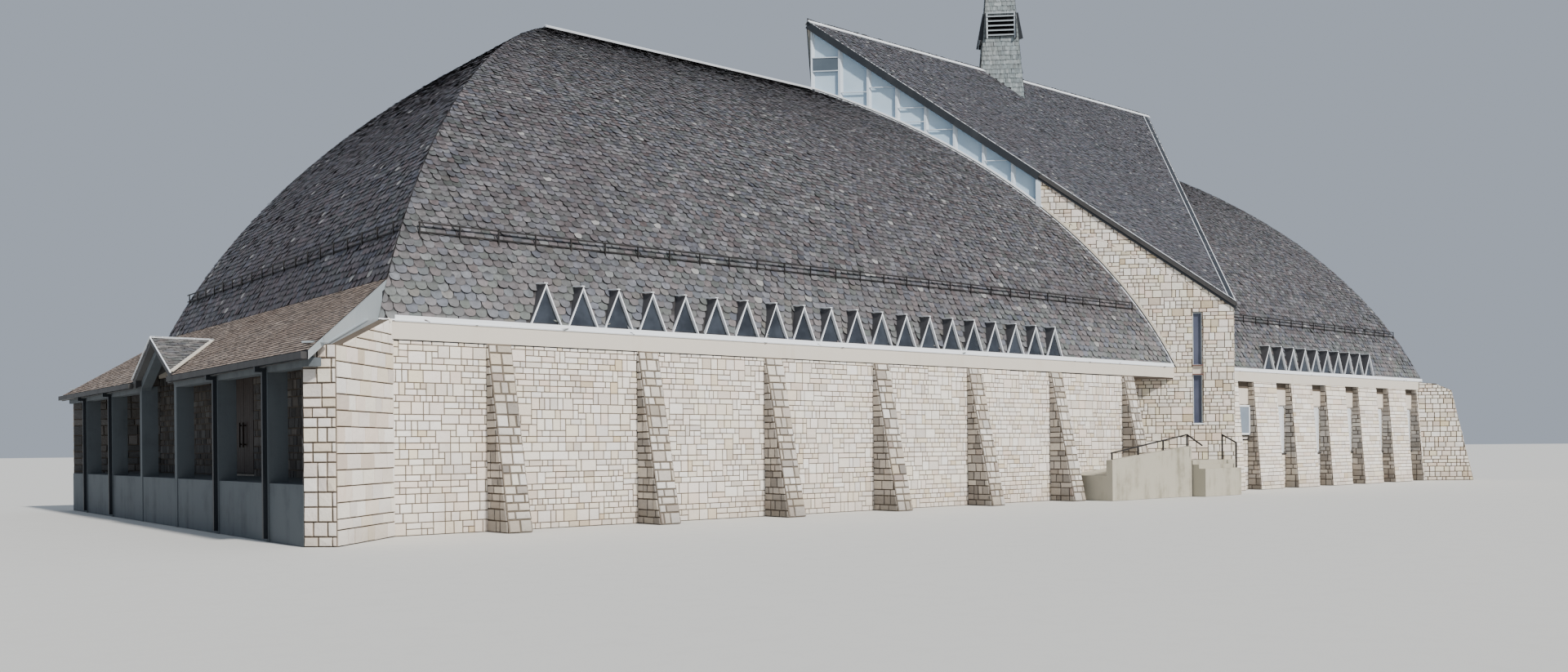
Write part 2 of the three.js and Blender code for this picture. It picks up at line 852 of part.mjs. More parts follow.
// Everything under the lean-to roof, behind its eave.
function underLeanTo() {
  const x0 = porchEave + 6 * overshoot;
  return runningNorth([
    [x0, 0],
    [far, 0],
    [far, leanToTop(far) - porchRoofThickness],
    [x0, leanToTop(x0) - porchRoofThickness],
  ], -porchEnd, porchEnd);
}

function porchRoof() {
  const slab = runningNorth([
    [porchEave, leanToTop(porchEave) - porchRoofThickness],
    [porchTopReach, leanToTop(porchTopReach) - porchRoofThickness],
    [porchTopReach, leanToTop(porchTopReach)],
    [porchEave, leanToTop(porchEave)],
  ], -porchEnd, porchEnd);
  const plan = standing([
    [porchEave, porchEave - porchSide],
    [porchTopReach, porchTopReach - porchSide],
    [porchTopReach, porchSide - porchTopReach],
    [porchEave, porchSide - porchEave],
  ], 0, sheetTop);
  const gableOuter = runningEast(
    [
      [-gableHalf, lintelTop + gap], [gableHalf, lintelTop + gap],
      [gableHalf, gableFoot], [0, gablePeak], [-gableHalf, gableFoot],
    ],
    porchEave, porchEave + gableDepth,
  ).subtract(underLeanTo());
  const innerFoot = gableFoot - gableInnerDrop;
  const gableInner = runningEast(
    [
      [-gableInnerHalf, lintelBottom], [gableInnerHalf, lintelBottom],
      [gableInnerHalf, innerFoot], [0, gablePeak - gableThickness], [-gableInnerHalf, innerFoot],
    ],
    porchEave - overshoot, porchEave + gableVoidDepth,
  );
  const beam = box(-2 * gap, far, -halfWidth - 2 * gap, halfWidth + 2 * gap, 0, beamTop + 2 * gap);
  return union([slab.intersect(plan), porchSidePanel(), mirrored(porchSidePanel()), gableOuter])
    .subtract(gableInner)
    .subtract(clearedVaultAboveBeam())
    .subtract(beam);
}

// Metal panel that closes the triangle between the wing wall and the edge of the lean-to roof.
function porchSidePanel() {
  const corner = new THREE.Vector3((porchSide - wallFace) / 2, -(porchSide + wallFace) / 2, 0);
  return alongDiagonal(
    [[-sidePanelBack, 0], [sidePanelEnd, 0], [sidePanelEnd, sheetTop], [-sidePanelBack, sheetTop]],
    corner, southWest, -sidePanelProud, sidePanelThickness,
  )
    .subtract(frontWingTopBlock(gap))
    .subtract(aboveLeanTo(sidePanelDrop));
}

// Everything below the sloping top of a wing wall, raised by a given amount.
function frontWingTopBlock(raise) {
  return alongDiagonal(
    [
      [-wingBack, 0], [far, 0], [far, westWingTopOut + raise], [westWingTopLength, westWingTopOut + raise],
      [0, westWingTopIn + raise], [-wingBack, westWingTopIn + raise],
    ],
    new THREE.Vector3(wallInset, -wallFace, 0), southWest, -far, 2 * far,
  );
}

// Half of the concrete porch frame: three fins, their lintel and one sloping member of the gable.
function porchFrameSouth() {
  const top = lintelTop - lintelSeat;
  const fins = finPlaces.map((place) => {
    const y = -place * finPitch;
    return box(porchFront, porchFront + finDepth, y - finWidth / 2, y + finWidth / 2, 0, top);
  });
  const lintel = box(
    porchFront, porchFront + lintelDepth,
    -lintelEnd, -(finPitch - finWidth) / 2 - overshoot, lintelBottom, top,
  );
  const rise = (gablePeak - gableFoot) / gableHalf;
  const peak = gablePeak - gableThickness - gableMemberDrop;
  const foot = (finPitch - finWidth) / 2;
  const outside = gableInnerHalf - lintelSeat;
  const member = runningEast([
    [-foot - overshoot, top - gableMemberDepth],
    [-foot - overshoot, top],
    [-outside, top],
    [-outside, peak - rise * outside],
    [-gap, peak],
    [-gap, peak - gableMemberDepth],
    [-foot + overshoot, peak - gableMemberDepth - rise * foot],
  ], porchFront, porchFront + lintelDepth);
  return union([...fins, lintel, member]).subtract(frontWingBody());
}

// The ground that a wing wall takes, with room round it.
function frontWingBody() {
  const inner = westWingSouth - westWingThickness;
  const end = westWingEnd + 4 * gap;
  return standing([
    [westWingSouth - wallFace, -wallFace + gap],
    [(westWingSouth - end) / 2, -(westWingSouth + end) / 2],
    [(inner - end) / 2, -(inner + end) / 2 + 2 * gap],
    [wallInset, wallInset - inner + 2 * gap],
  ], -overshoot, sheetTop);
}

// Half of the gutter along the eave, with the two downpipes on the outer fins.
function porchGutterSouth() {
  const outer = porchEave - gap - gutterDepth;
  const start = -porchSide + porchEave + gutterEnd;
  const end = -gableHalf - gap;
  const trough = box(outer, porchEave - gap, start, end, gutterBottom, porchEaveHeight - gutterDrop)
    .subtract(box(outer + gutterWall, porchEave - gap - gutterWall, start + gutterWall, end - gutterWall,
      gutterBottom + gutterWall, porchEaveHeight));
  const underEave = porchEaveHeight - porchRoofThickness - gap;
  const elbow = underEave - downpipe;
  const pipes = finPlaces.slice(1).flatMap((place) => {
    const y0 = -place * finPitch - downpipe / 2;
    const y1 = y0 + downpipe;
    return [
      box(porchEave - gap - downpipe, porchEave - gap, y0, y1, elbow, gutterBottom + gutterWall / 4),
      box(porchEave - gap - downpipe, porchFront - gap, y0, y1, elbow, underEave),
      box(porchFront - gap - downpipe, porchFront - gap, y0, y1, downpipeFoot, underEave),
    ];
  });
  return union([trough, ...pipes]);
}

// Floor of the porch, on a solid plinth that runs down to the ground between the fins.
function porchFloor() {
  const inner = westWingSouth - westWingThickness;
  const edge = porchFront + porchFloorSetback;
  const plan = standing([
    [edge, edge - inner],
    [wallInset - gap, -(inner - wallInset)],
    [wallInset - gap, inner - wallInset],
    [edge, inner - edge],
  ], 0, porchLevel);
  const half = finWidth / 2 + gap;
  const fins = union(finPlaces.flatMap((place) => [-place, place]).map((place) => box(
    porchFront - overshoot, porchFront + finDepth + gap,
    place * finPitch - half, place * finPitch + half, -overshoot, porchLevel + overshoot,
  )));
  return plan.subtract(fins).subtract(frontWingBody()).subtract(mirrored(frontWingBody()));
}

// Floor inside.
function floorSlab() {
  const z0 = floorLevel - slabThickness;
  const inset = wallInset + wallThickness + gap;
  const below = z0 - overshoot;
  const above = floorLevel + overshoot;
  const main = box(inset, bodyLength - inset, -halfWidth + inset, halfWidth - inset, z0, floorLevel);
  const threshold = box(
    wallInset, inset + overshoot, -doorwayWidth / 2 + gap, doorwayWidth / 2 - gap, z0, floorLevel,
  );
  const niche = diamond(crossingInnerReach - gap * 1.5, z0, floorLevel);
  const choirInset = wallInset + recessDepth + infillThickness + gap;
  const choirZone = box(crossingCentre, bodyLength, -far, -halfWidth + choirInset, below, above)
    .subtract(diamond(crossingInnerReach, below - overshoot, above + overshoot));
  const entrance = standing([
    [naveWallEnd - wallThickness - gap, -far],
    [naveWallEnd - wallThickness - gap, -wallFace + sideReturnDepth + gap],
    [naveWallEnd + sideNicheReach, -wallFace + sideReturnDepth + gap],
    [crossingCentre, -interiorHalf + nicheWall],
    [crossingCentre, -far],
  ], below, above);
  const entranceZone = entrance.subtract(
    diamond(crossingInnerReach - gap * 1.5, below - overshoot, above + overshoot),
  );
  return main.add(niche)
    .subtract(choirZone)
    .subtract(mirrored(choirZone))
    .subtract(entranceZone)
    .add(threshold);
}

// Main door: two leaves that turn on pivots at the jambs. Each leaf has a rounded heel round its pivot.

const pivotInset = leafThickness / 2 + leafClearance;
const leafCentre = wallInset + leafThickness / 2 + leafRebate;

function doorLeaf() {
  const pivot = doorwayWidth / 2 - pivotInset;
  const bottom = floorLevel + leafClearance;
  const top = doorwayTop - leafClearance;
  const face = leafCentre - leafThickness / 2;
  const panel = box(face, face + leafThickness, leafClearance / 2, pivot, bottom, top);
  const round = (radius, z0, z1) => {
    const geometry = new THREE.CylinderGeometry(radius, radius, z1 - z0, pivotSides, 1);
    geometry.rotateX(Math.PI / 2);
    geometry.translate(leafCentre, pivot, (z0 + z1) / 2);
    return toSolid(geometry);
  };
  const heel = round(leafThickness / 2, bottom, top);
  const pin = round(pivotRadius, floorLevel + gap, doorwayTop - gap);
  const pullAt = leafClearance / 2 + pullInset;
  const pull = box(
    face - pullStandoff - pullBar, face - pullStandoff, pullAt, pullAt + pullBar,
    pullBottom, pullBottom + pullLength,
  );
  const brackets = pullBracketPlaces.map((place) => {
    const z = pullBottom + place * pullLength;
    return box(
      face - pullStandoff - pullBar / 4, face + pullBar / 4, pullAt, pullAt + pullBar,
      z - pullBracket / 2, z + pullBracket / 2,
    );
  });
  return union([panel, heel, pin, pull, ...brackets]);
}

// Side entrance.

function sideCeilingPanel() {
  const front = -wallFace - nicheWall;
  const back = -wallFace + sideReturnDepth - gap;
  const plan = standing([
    [naveWallEnd + gap, front],
    [naveWallEnd + gap, back],
    [crossingCentre, back],
    [crossingCentre, front],
  ], wallTop - sideCeiling, wallTop);
  return plan.subtract(diamond(crossingWallReach + 1.5 * gap, 0, beamTop));
}

function sideDoor() {
  return box(
    naveWallEnd - sideDoorInset - sideDoorThickness, naveWallEnd - sideDoorInset,
    -sideDoorNear + gap, -sideDoorNear + sideDoorWidth - gap,
    floorLevel + gap, sideDoorTop - gap,
  );
}

// Ramp rising east behind a parapet, the landing at the entrance and three steps down to the south.
function sideRamp() {
  const rampInner = -wallFace - gap;
  const rampOuter = -parapetOuter + parapetWidth;
  const ramp = runningNorth([
    [rampStart, 0], [rampStart, rampStartLevel], [rampEnd, floorLevel], [rampEnd, 0],
  ], rampOuter, rampInner);
  const landing = box(rampEnd - overshoot, crossingCentre, rampOuter, rampInner, 0, floorLevel);
  const entranceFloor = box(
    naveWallEnd + gap, crossingCentre,
    -wallFace - overshoot, -wallFace + sideReturnDepth - gap, 0, floorLevel,
  );
  const parapet = runningNorth([
    [rampStart, 0], [rampStart, rampStartLevel + parapetHeight],
    [parapetEnd, floorLevel + parapetHeight], [parapetEnd, 0],
  ], -parapetOuter, rampOuter);
  const riser = (floorLevel - rampStartLevel) / treadCount;
  const steps = [];
  for (let i = 0; i < treadCount; i += 1) {
    const out = parapetOuter - parapetWidth + i * treadDepth;
    steps.push(box(stairWest, stairEast, -out - treadDepth, -out + overshoot, 0, floorLevel - i * riser));
  }
  const buttressClear = runningEast(
    battered(wallFace, wallInset + gap, buttressFoot + gap * 2),
    naveWallEnd - buttressWidth - gap, naveWallEnd + gap,
  );
  return union([ramp, landing, entranceFloor, parapet, ...steps])
    .subtract(crossingCut())
    .subtract(buttressClear);
}

function bar(from, to, size) {
  const direction = new THREE.Vector3().subVectors(to, from);
  const geometry = new THREE.BoxGeometry(size, size, direction.length());
  const turn = new THREE.Quaternion().setFromUnitVectors(up, direction.clone().normalize());
  geometry.applyQuaternion(turn);
  const middle = from.clone().add(to).multiplyScalar(0.5);
  geometry.translate(middle.x, middle.y, middle.z);
  return toSolid(geometry);
}

// Handrail on the parapet that turns down beside the steps.
function sideRailing() {
  const y = -parapetOuter + parapetWidth / 2;
  const rampRise = (floorLevel - rampStartLevel) / (parapetEnd - rampStart);
  const parapetTop = (x) => rampStartLevel + parapetHeight + rampRise * (x - rampStart);
  const first = rampStart + railInset;
  const last = rampEnd - railInset;
  const [startHeight, endHeight] = parapetRailHeights;
  const railRise = (endHeight - startHeight) / (last - first);
  const railTop = (x) => parapetTop(x) + startHeight + railRise * (x - first);
  const parts = [bar(
    new THREE.Vector3(first - railSize, y, railTop(first - railSize)),
    new THREE.Vector3(last + railSize / 2, y, railTop(last + railSize / 2)), railSize,
  )];
  for (let i = 0; i < parapetRailPosts; i += 1) {
    const x = first + ((last - first) * i) / (parapetRailPosts - 1);
    parts.push(box(
      x - railSize / 2, x + railSize / 2, y - railSize / 2, y + railSize / 2,
      parapetTop(x + railSize / 2) + gap, railTop(x),
    ));
  }
  const endY = -parapetOuter - railEndTreads * treadDepth;
  parts.push(bar(
    new THREE.Vector3(last, y, railTop(last)),
    new THREE.Vector3(last, endY, railTop(last) - stairRailDrop), railSize,
  ));
  return union(parts);
}

// Handrail on the east side of the steps.
function stairRailing() {
  const x = stairEast - stairRailInset;
  const riser = (floorLevel - rampStartLevel) / treadCount;
  const topY = -parapetOuter + parapetWidth + stairRailBack;
  const bottomY = -parapetOuter + parapetWidth - stairRailTreads * treadDepth;
  const bottomLevel = floorLevel - 2 * riser;
  const post = (y, level) => box(
    x - railSize / 2, x + railSize / 2, y, y + railSize, level + gap, level + railHeight,
  );
  const parts = [
    post(topY, floorLevel),
    post(bottomY, bottomLevel),
    bar(
      new THREE.Vector3(x, topY + railSize / 2, floorLevel + railHeight - railSize / 2),
      new THREE.Vector3(x, bottomY + railSize / 2, bottomLevel + railHeight - railSize / 2), railSize,
    ),
  ];
  return union(parts);
}

// Materials.

function finish(color, roughness, metalness = 0) {
  return new THREE.MeshStandardMaterial({ color, roughness, metalness });
}

const stone = () => finish(0xd2c3a8, 0.9);
const concrete = () => finish(0xb9ae9b, 0.85);
const greyConcrete = () => finish(0x8f9092, 0.85);
const slate = () => finish(0x4c4a50, 0.7);
const whiteMetal = () => finish(0xe6e8ea, 0.5, 0.1);
const darkMetal = () => finish(0x3a3230, 0.6, 0.5);
const glass = () => finish(0x3c4a58, 0.1);
const frosted = () => finish(0xb9c6cc, 0.3);
const brownWood = () => finish(0x4a2f26, 0.6);

const group = new THREE.Group();
const westReach = porchEave - gap - gutterDepth;
const eastReach = bodyLength - wallInset + (eastWingFoot + eastWingThickness / 2) / Math.SQRT2;
const inner = new THREE.Group();
inner.position.x = -(westReach + eastReach) / 2;
group.add(inner);
group.scale.setScalar(modelScale);

function addPiece(name, solid, material) {
  const mesh = new THREE.Mesh(toGeometry(solid), material);
  mesh.name = name;
  inner.add(mesh);
}

// A piece on the south side and its mirror image on the north side.
function addPair(name, solid, material) {
  addPiece(`${name}_south`, solid, material());
  addPiece(`${name}_north`, mirrored(solid), material());
}

addPiece('nave_wall_south', naveWallSouth(), stone());
addPiece('nave_wall_north', naveWallNorth(), stone());
addPair('choir_wall', choirWall(), stone);
addPiece('choir_wall_east', choirWallEast(), stone());
addPair('front_wall', frontWallSouth(), stone);
addPiece('front_wall_over_door', frontWallOverDoor(), stone());
addPair('front_wing_wall', frontWingWallSouth(), stone);
addPiece('nave_ring_beam', naveRingBeam(), concrete());
addPiece('choir_ring_beam', choirRingBeam(), concrete());
addPiece('crossing_wall_south', crossingWallSouth(true), stone());
addPiece('crossing_wall_north', mirrored(crossingWallSouth(false)), stone());
addPair('crossing_window', crossingWindow(), glass);
addPair('crossing_roof', crossingRoofSouth(), slate);
addPiece('clerestory_frame_west', clerestoryFrameWest(), whiteMetal());
addPiece('clerestory_frame_east', turnedEast(clerestoryFrameWest()), whiteMetal());
addPiece('clerestory_glass_west', clerestoryGlassWest(), frosted());
addPiece('clerestory_glass_east', turnedEast(clerestoryGlassWest()), frosted());
addPair('nave_roof', naveRoofSide().subtract(dormerHoles(naveDormers)), slate);
addPiece('nave_roof_west', naveRoofWest(), slate());
addPair('choir_roof', choirRoofSide().subtract(dormerHoles(choirDormers)), slate);
addPiece('choir_roof_east', choirRoofEast(), slate());
addPair(
  'nave_dormers',
  dormers(naveDormers, flashingWestEnd, crossingCentre - crossingWallAtSide), whiteMetal,
);
addPair(
  'choir_dormers',
  dormers(choirDormers, crossingCentre + crossingWallAtSide, bodyLength - flashingEastEnd), whiteMetal,
);
addPair('choir_glass', choirGlass(), glass);
addPiece('spire_shaft', spireShaft(), slate());
addPiece('spire_louvres', spireLouvres(), darkMetal());
addPair('nave_snow_guard', guardAlongSouth(...naveGuard), darkMetal);
addPair('choir_snow_guard', guardAlongSouth(...choirGuard), darkMetal);
addPiece('west_snow_guard', guardWest(), darkMetal());
addPiece('floor_slab', floorSlab(), greyConcrete());
addPiece('porch_floor', porchFloor(), greyConcrete());
addPair('porch_frame', porchFrameSouth(), greyConcrete);
addPiece('porch_roof', porchRoof(), slate());
addPair('porch_gutter', porchGutterSouth(), darkMetal);
addPiece('front_door_north', doorLeaf(), brownWood());
addPiece('front_door_south', mirrored(doorLeaf()), brownWood());
addPiece('side_ceiling', sideCeilingPanel(), brownWood());
addPiece('side_door', sideDoor(), brownWood());
addPiece('side_ramp', sideRamp(), concrete());
addPiece('side_railing', sideRailing(), darkMetal());
addPiece('stair_railing', stairRailing(), darkMetal());

export default group;
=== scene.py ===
"""A stone church with a curved slate roof, at half size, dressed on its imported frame.

Sizes in this file are metres of the real building. x runs east from the west face, y runs north
from the ridge and z runs up from the lowest ground. Site turns them into places in the frame.
"""

import json
import logging
import math
from collections.abc import Callable, Iterable, Sequence
from dataclasses import dataclass, field
from enum import Enum
from functools import partial

import bpy
import numpy as np
from mathutils import Matrix, Vector
from mathutils.kdtree import KDTree


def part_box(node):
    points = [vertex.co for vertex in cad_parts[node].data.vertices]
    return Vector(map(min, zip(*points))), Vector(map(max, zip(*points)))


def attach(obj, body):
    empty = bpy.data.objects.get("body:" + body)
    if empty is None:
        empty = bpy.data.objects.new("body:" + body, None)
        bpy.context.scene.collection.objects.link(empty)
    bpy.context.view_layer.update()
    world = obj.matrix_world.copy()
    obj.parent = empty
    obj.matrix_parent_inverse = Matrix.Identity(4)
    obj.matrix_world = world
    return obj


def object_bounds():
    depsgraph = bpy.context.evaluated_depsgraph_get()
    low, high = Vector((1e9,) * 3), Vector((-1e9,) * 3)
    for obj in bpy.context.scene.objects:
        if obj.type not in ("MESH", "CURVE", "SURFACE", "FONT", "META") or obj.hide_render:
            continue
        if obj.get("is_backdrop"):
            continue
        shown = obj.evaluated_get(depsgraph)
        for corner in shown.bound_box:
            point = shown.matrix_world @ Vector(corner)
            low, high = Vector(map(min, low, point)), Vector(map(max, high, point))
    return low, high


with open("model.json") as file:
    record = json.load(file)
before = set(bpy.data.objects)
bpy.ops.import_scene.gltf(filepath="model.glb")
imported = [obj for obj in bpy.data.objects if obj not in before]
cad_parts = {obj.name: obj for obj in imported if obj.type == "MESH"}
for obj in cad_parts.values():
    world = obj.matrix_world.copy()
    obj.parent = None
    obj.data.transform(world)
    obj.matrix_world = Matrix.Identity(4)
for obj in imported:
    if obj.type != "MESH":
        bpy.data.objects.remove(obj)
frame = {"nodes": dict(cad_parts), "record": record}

log = logging.getLogger("church")
BODY = "building"
TONE = "tone"
PROBE = 0.3  # How far before a face the air is tried for being indoors, in metres.
FACING = 0.9  # Least part of a normal along the way that its face is said to look.
SIDES = ((-1.0, "south"), (1.0, "north"))
RAKES = tuple((east, north) for east, _ in SIDES for north, _ in SIDES)
DIAGONAL = math.sqrt(0.5)
Piece = bpy.types.Object
Colour = tuple[float, float, float]
Point = tuple[float, float, float]
Pair = tuple[float, float]
Arrays = tuple[np.ndarray, np.ndarray]
Loop = list[Pair]
UP: Point = (0.0, 0.0, 1.0)
EAST: Point = (1.0, 0.0, 0.0)
WEST: Point = (-1.0, 0.0, 0.0)
NORTH: Point = (0.0, 1.0, 0.0)
SOUTH: Point = (0.0, -1.0, 0.0)


@dataclass(frozen=True)
class Site:
    """The real building's own measures and how they lie in the frame."""

    scale: float = 0.5
    length: float = 52.6
    half_width: float = 9.77
    wall_face: float = 9.72
    wall_thickness: float = 0.5
    beam_bottom: float = 4.42
    beam_top: float = 4.82
    radius: float = 19.38
    centre_inward: float = 18.32
    centre_height: float = -1.5
    crossing: float = 32.7
    crossing_reach: float = 11.45
    crossing_wall: float = 11.35
    crossing_ridge: float = 18.55
    crossing_corner: float = 7.25
    crossing_slab: float = 0.28
    glazed_end: float = 6.26
    glazed_bays: int = 8
    entrance_west: float = 28.44
    shell: float = 0.35

    @property
    def west(self) -> float:
        """Frame x of the west face, in metres."""
        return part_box("nave_ring_beam")[0][0]

    @property
    def crossing_slope(self) -> float:
        """Rise of the crossing roof for each metre inwards."""
        return (self.crossing_ridge - self.crossing_corner) / self.crossing_reach

    def at(self, point: Sequence[float]) -> Vector:
        """Place in the frame of a point of the real building."""
        return Vector((self.west + point[0] * self.scale, point[1] * self.scale, point[2] * self.scale))

    def points(self, places: np.ndarray) -> np.ndarray:
        """Places in the frame of many points of the real building."""
        return places * self.scale + np.array([self.west, 0.0, 0.0])

    def real(self, places: np.ndarray) -> np.ndarray:
        """Points of the real building for many places in the frame."""
        return (places - np.array([self.west, 0.0, 0.0])) / self.scale

    def vault_height(self, inward: np.ndarray | float) -> np.ndarray | float:
        """Height of the vault at a distance inward from the eave."""
        return self.centre_height + np.sqrt(self.radius**2 - (self.centre_inward - inward) ** 2)

    def arc_angle(self, height: float) -> float:
        """Angle round the arc's centre at which the vault reaches a height."""
        return math.asin((height - self.centre_height) / self.radius)

    @property
    def ridge_angle(self) -> float:
        """Angle round the arc's centre of the ridge."""
        return math.acos((self.centre_inward - self.half_width) / self.radius)

    def roof_height(self, across: float) -> float:
        """Height of the crossing roof at a distance from its ridge."""
        return self.crossing_ridge - self.crossing_slope * abs(across)

    def indoors(self, point: np.ndarray) -> bool:
        """Says whether a point lies in the hall, under the vault or under the crossing roof.

        Args:
            point: A point in metres of the real building.

        Returns:
            True where it lies indoors.
        """
        x, y, z = point
        inward = min(self.half_width - abs(y), x, self.length - x)
        under_vault = inward > self.wall_thickness and z < self.vault_height(inward) - self.shell
        reach = abs(x - self.crossing) + abs(y)
        under_roof = z < self.roof_height(y) - self.shell
        under_crossing = under_roof and reach < self.crossing_wall - self.shell
        before_wall = x < self.crossing - self.crossing_wall + abs(y)
        in_entrance = y < 0 and before_wall and x > self.entrance_west and z < self.beam_bottom
        return bool((under_vault and not in_entrance) or under_crossing)


SITE = Site()


class Value:
    """A socket of a material's nodes that takes part in arithmetic."""

    def __init__(self, graph: "Graph", socket: bpy.types.NodeSocket) -> None:
        """Keeps the socket and the graph that it belongs to."""
        self.graph = graph
        self.socket = socket

    def _math(self, operation: str, first: "Value | float", second: "Value | float") -> "Value":
        """Adds a Math node for two values."""
        return self.graph.node("ShaderNodeMath", {"operation": operation}, {0: first, 1: second})

    def __add__(self, other: "Value | float") -> "Value":
        """Sum."""
        return self._math("ADD", self, other)

    def __rsub__(self, other: float) -> "Value":
        """Difference from a number."""
        return self._math("SUBTRACT", other, self)

    def __mul__(self, other: "Value | float") -> "Value":
        """Product."""
        return self._math("MULTIPLY", self, other)

    def __gt__(self, other: "Value | float") -> "Value":
        """One where this value is the greater, otherwise nothing."""
        return self._math("GREATER_THAN", self, other)


class Graph:
    """The nodes of one material."""

    def __init__(self, name: str) -> None:
        """Makes an empty material with a Principled surface."""
        self.material = bpy.data.materials.new(name)
        self.material.use_nodes = True
        self.tree = self.material.node_tree
        self.tree.nodes.clear()
        self.surface = self.tree.nodes.new("ShaderNodeBsdfPrincipled")
        output = self.tree.nodes.new("ShaderNodeOutputMaterial")
        self.tree.links.new(self.surface.outputs[0], output.inputs[0])

    def node(
        self, kind: str, settings: dict[str, object] | None = None,
        inputs: dict[int | str, object] | None = None, output: int | str = 0,
    ) -> Value:
        """Adds any node.

        Args:
            kind: Blender's name of the node type.
            settings: Properties that are set first. "stops" fills a colour ramp.
            inputs: A value or a constant for each socket.
            output: The socket that is given back.

        Returns:
            The chosen output as a value.
        """
        made = self.tree.nodes.new(kind)
        for key, setting in (settings or {}).items():
            if key == "stops":
                self._fill_ramp(made.color_ramp, setting)
            else:
                setattr(made, key, setting)
        self._feed(made, inputs or {})
        return Value(self, made.outputs[output])

    def _feed(self, made: bpy.types.Node, inputs: dict[int | str, object]) -> None:
        """Links or sets the sockets of a node."""
        for key, source in inputs.items():
            if isinstance(source, Value):
                self.tree.links.new(source.socket, made.inputs[key])
            else:
                made.inputs[key].default_value = source

    @staticmethod
    def _fill_ramp(ramp: bpy.types.ColorRamp, stops: Sequence[tuple[float, Colour]]) -> None:
        """Sets the stops of a colour ramp."""
        while len(ramp.elements) < len(stops):
            ramp.elements.new(0.5)
        for element, (position, colour) in zip(ramp.elements, stops):
            element.position = position
            element.color = (*colour, 1.0)

    def place(self) -> Value:
        """Object coordinates."""
        return self.node("ShaderNodeTexCoord", output="Object")

    def stretched(self, factors: Point) -> Value:
        """Object coordinates multiplied along each axis."""
        return self.node("ShaderNodeMapping", {}, {"Vector": self.place(), "Scale": factors})

    def noise(
        self, scale: float, detail: float = 4.0, roughness: float = 0.55, vector: Value | None = None,
    ) -> Value:
        """Noise between nothing and one."""
        inputs = {"Vector": vector or self.place(), "Scale": scale, "Detail": detail, "Roughness": roughness}
        return self.node("ShaderNodeTexNoise", {}, inputs)

    def ramp(self, value: Value, *colours: Colour) -> Value:
        """A colour for each value, through equal steps of the colours."""
        stops = [(number / (len(colours) - 1), colour) for number, colour in enumerate(colours)]
        return self.node("ShaderNodeValToRGB", {"stops": stops}, {0: value})

    def steps(self, value: Value, low: float, high: float) -> Value:
        """Nothing below one value, one above another, and smooth between them."""
        settings = {"interpolation_type": "SMOOTHSTEP"}
        return self.node("ShaderNodeMapRange", settings, {"Value": value, "From Min": low, "From Max": high})

    def mix(
        self, factor: Value | float, first: Value | Colour, second: Value | Colour, blend: str = "MIX",
    ) -> Value:
        """Mixes two colours.

        Args:
            factor: Share of the second colour.
            first: A value or three numbers.
            second: The same.
            blend: Blender's name of the blend.

        Returns:
            The mixed colour.
        """
        pair = [c if isinstance(c, Value) else (*c, 1.0) for c in (first, second)]
        settings = {"data_type": "RGBA", "blend_type": blend}
        return self.node("ShaderNodeMix", settings, {0: factor, 6: pair[0], 7: pair[1]}, output=2)

    def shaded(self, colour: Value, value: Value, strength: float) -> Value:
        """A colour made darker and lighter by a value round one half."""
        greys = self.ramp(value, (0.2, 0.2, 0.2), (0.5, 0.5, 0.5), (0.8, 0.8, 0.8))
        return self.mix(strength, colour, greys, "OVERLAY")

    def tone(self) -> list[Value]:
        """The four numbers that the corners of each slate or stone carry."""
        attribute = self.node("ShaderNodeAttribute", {"attribute_name": TONE}, output="Color")
        parts = self.node("ShaderNodeSeparateColor", {}, {0: attribute}).socket.node.outputs
        alpha = attribute.socket.node.outputs["Alpha"]
        return [Value(self, socket) for socket in (*parts, alpha)]

    def height(self) -> Value:
        """Height above the ground in metres of the frame."""
        return self.node("ShaderNodeSeparateXYZ", {}, {0: self.place()}, output=2)

    def bump(self, height: Value, distance: float, strength: float = 0.6) -> Value:
        """A normal bent by a height."""
        inputs = {"Height": height, "Distance": distance, "Strength": strength}
        return self.node("ShaderNodeBump", {}, inputs, "Normal")

    def finish(self, **sockets: object) -> bpy.types.Material:
        """Feeds the surface's sockets, named with _ for a space, and gives the material back."""
        self._feed(self.surface, {key.replace("_", " "): source for key, source in sockets.items()})
        return self.material


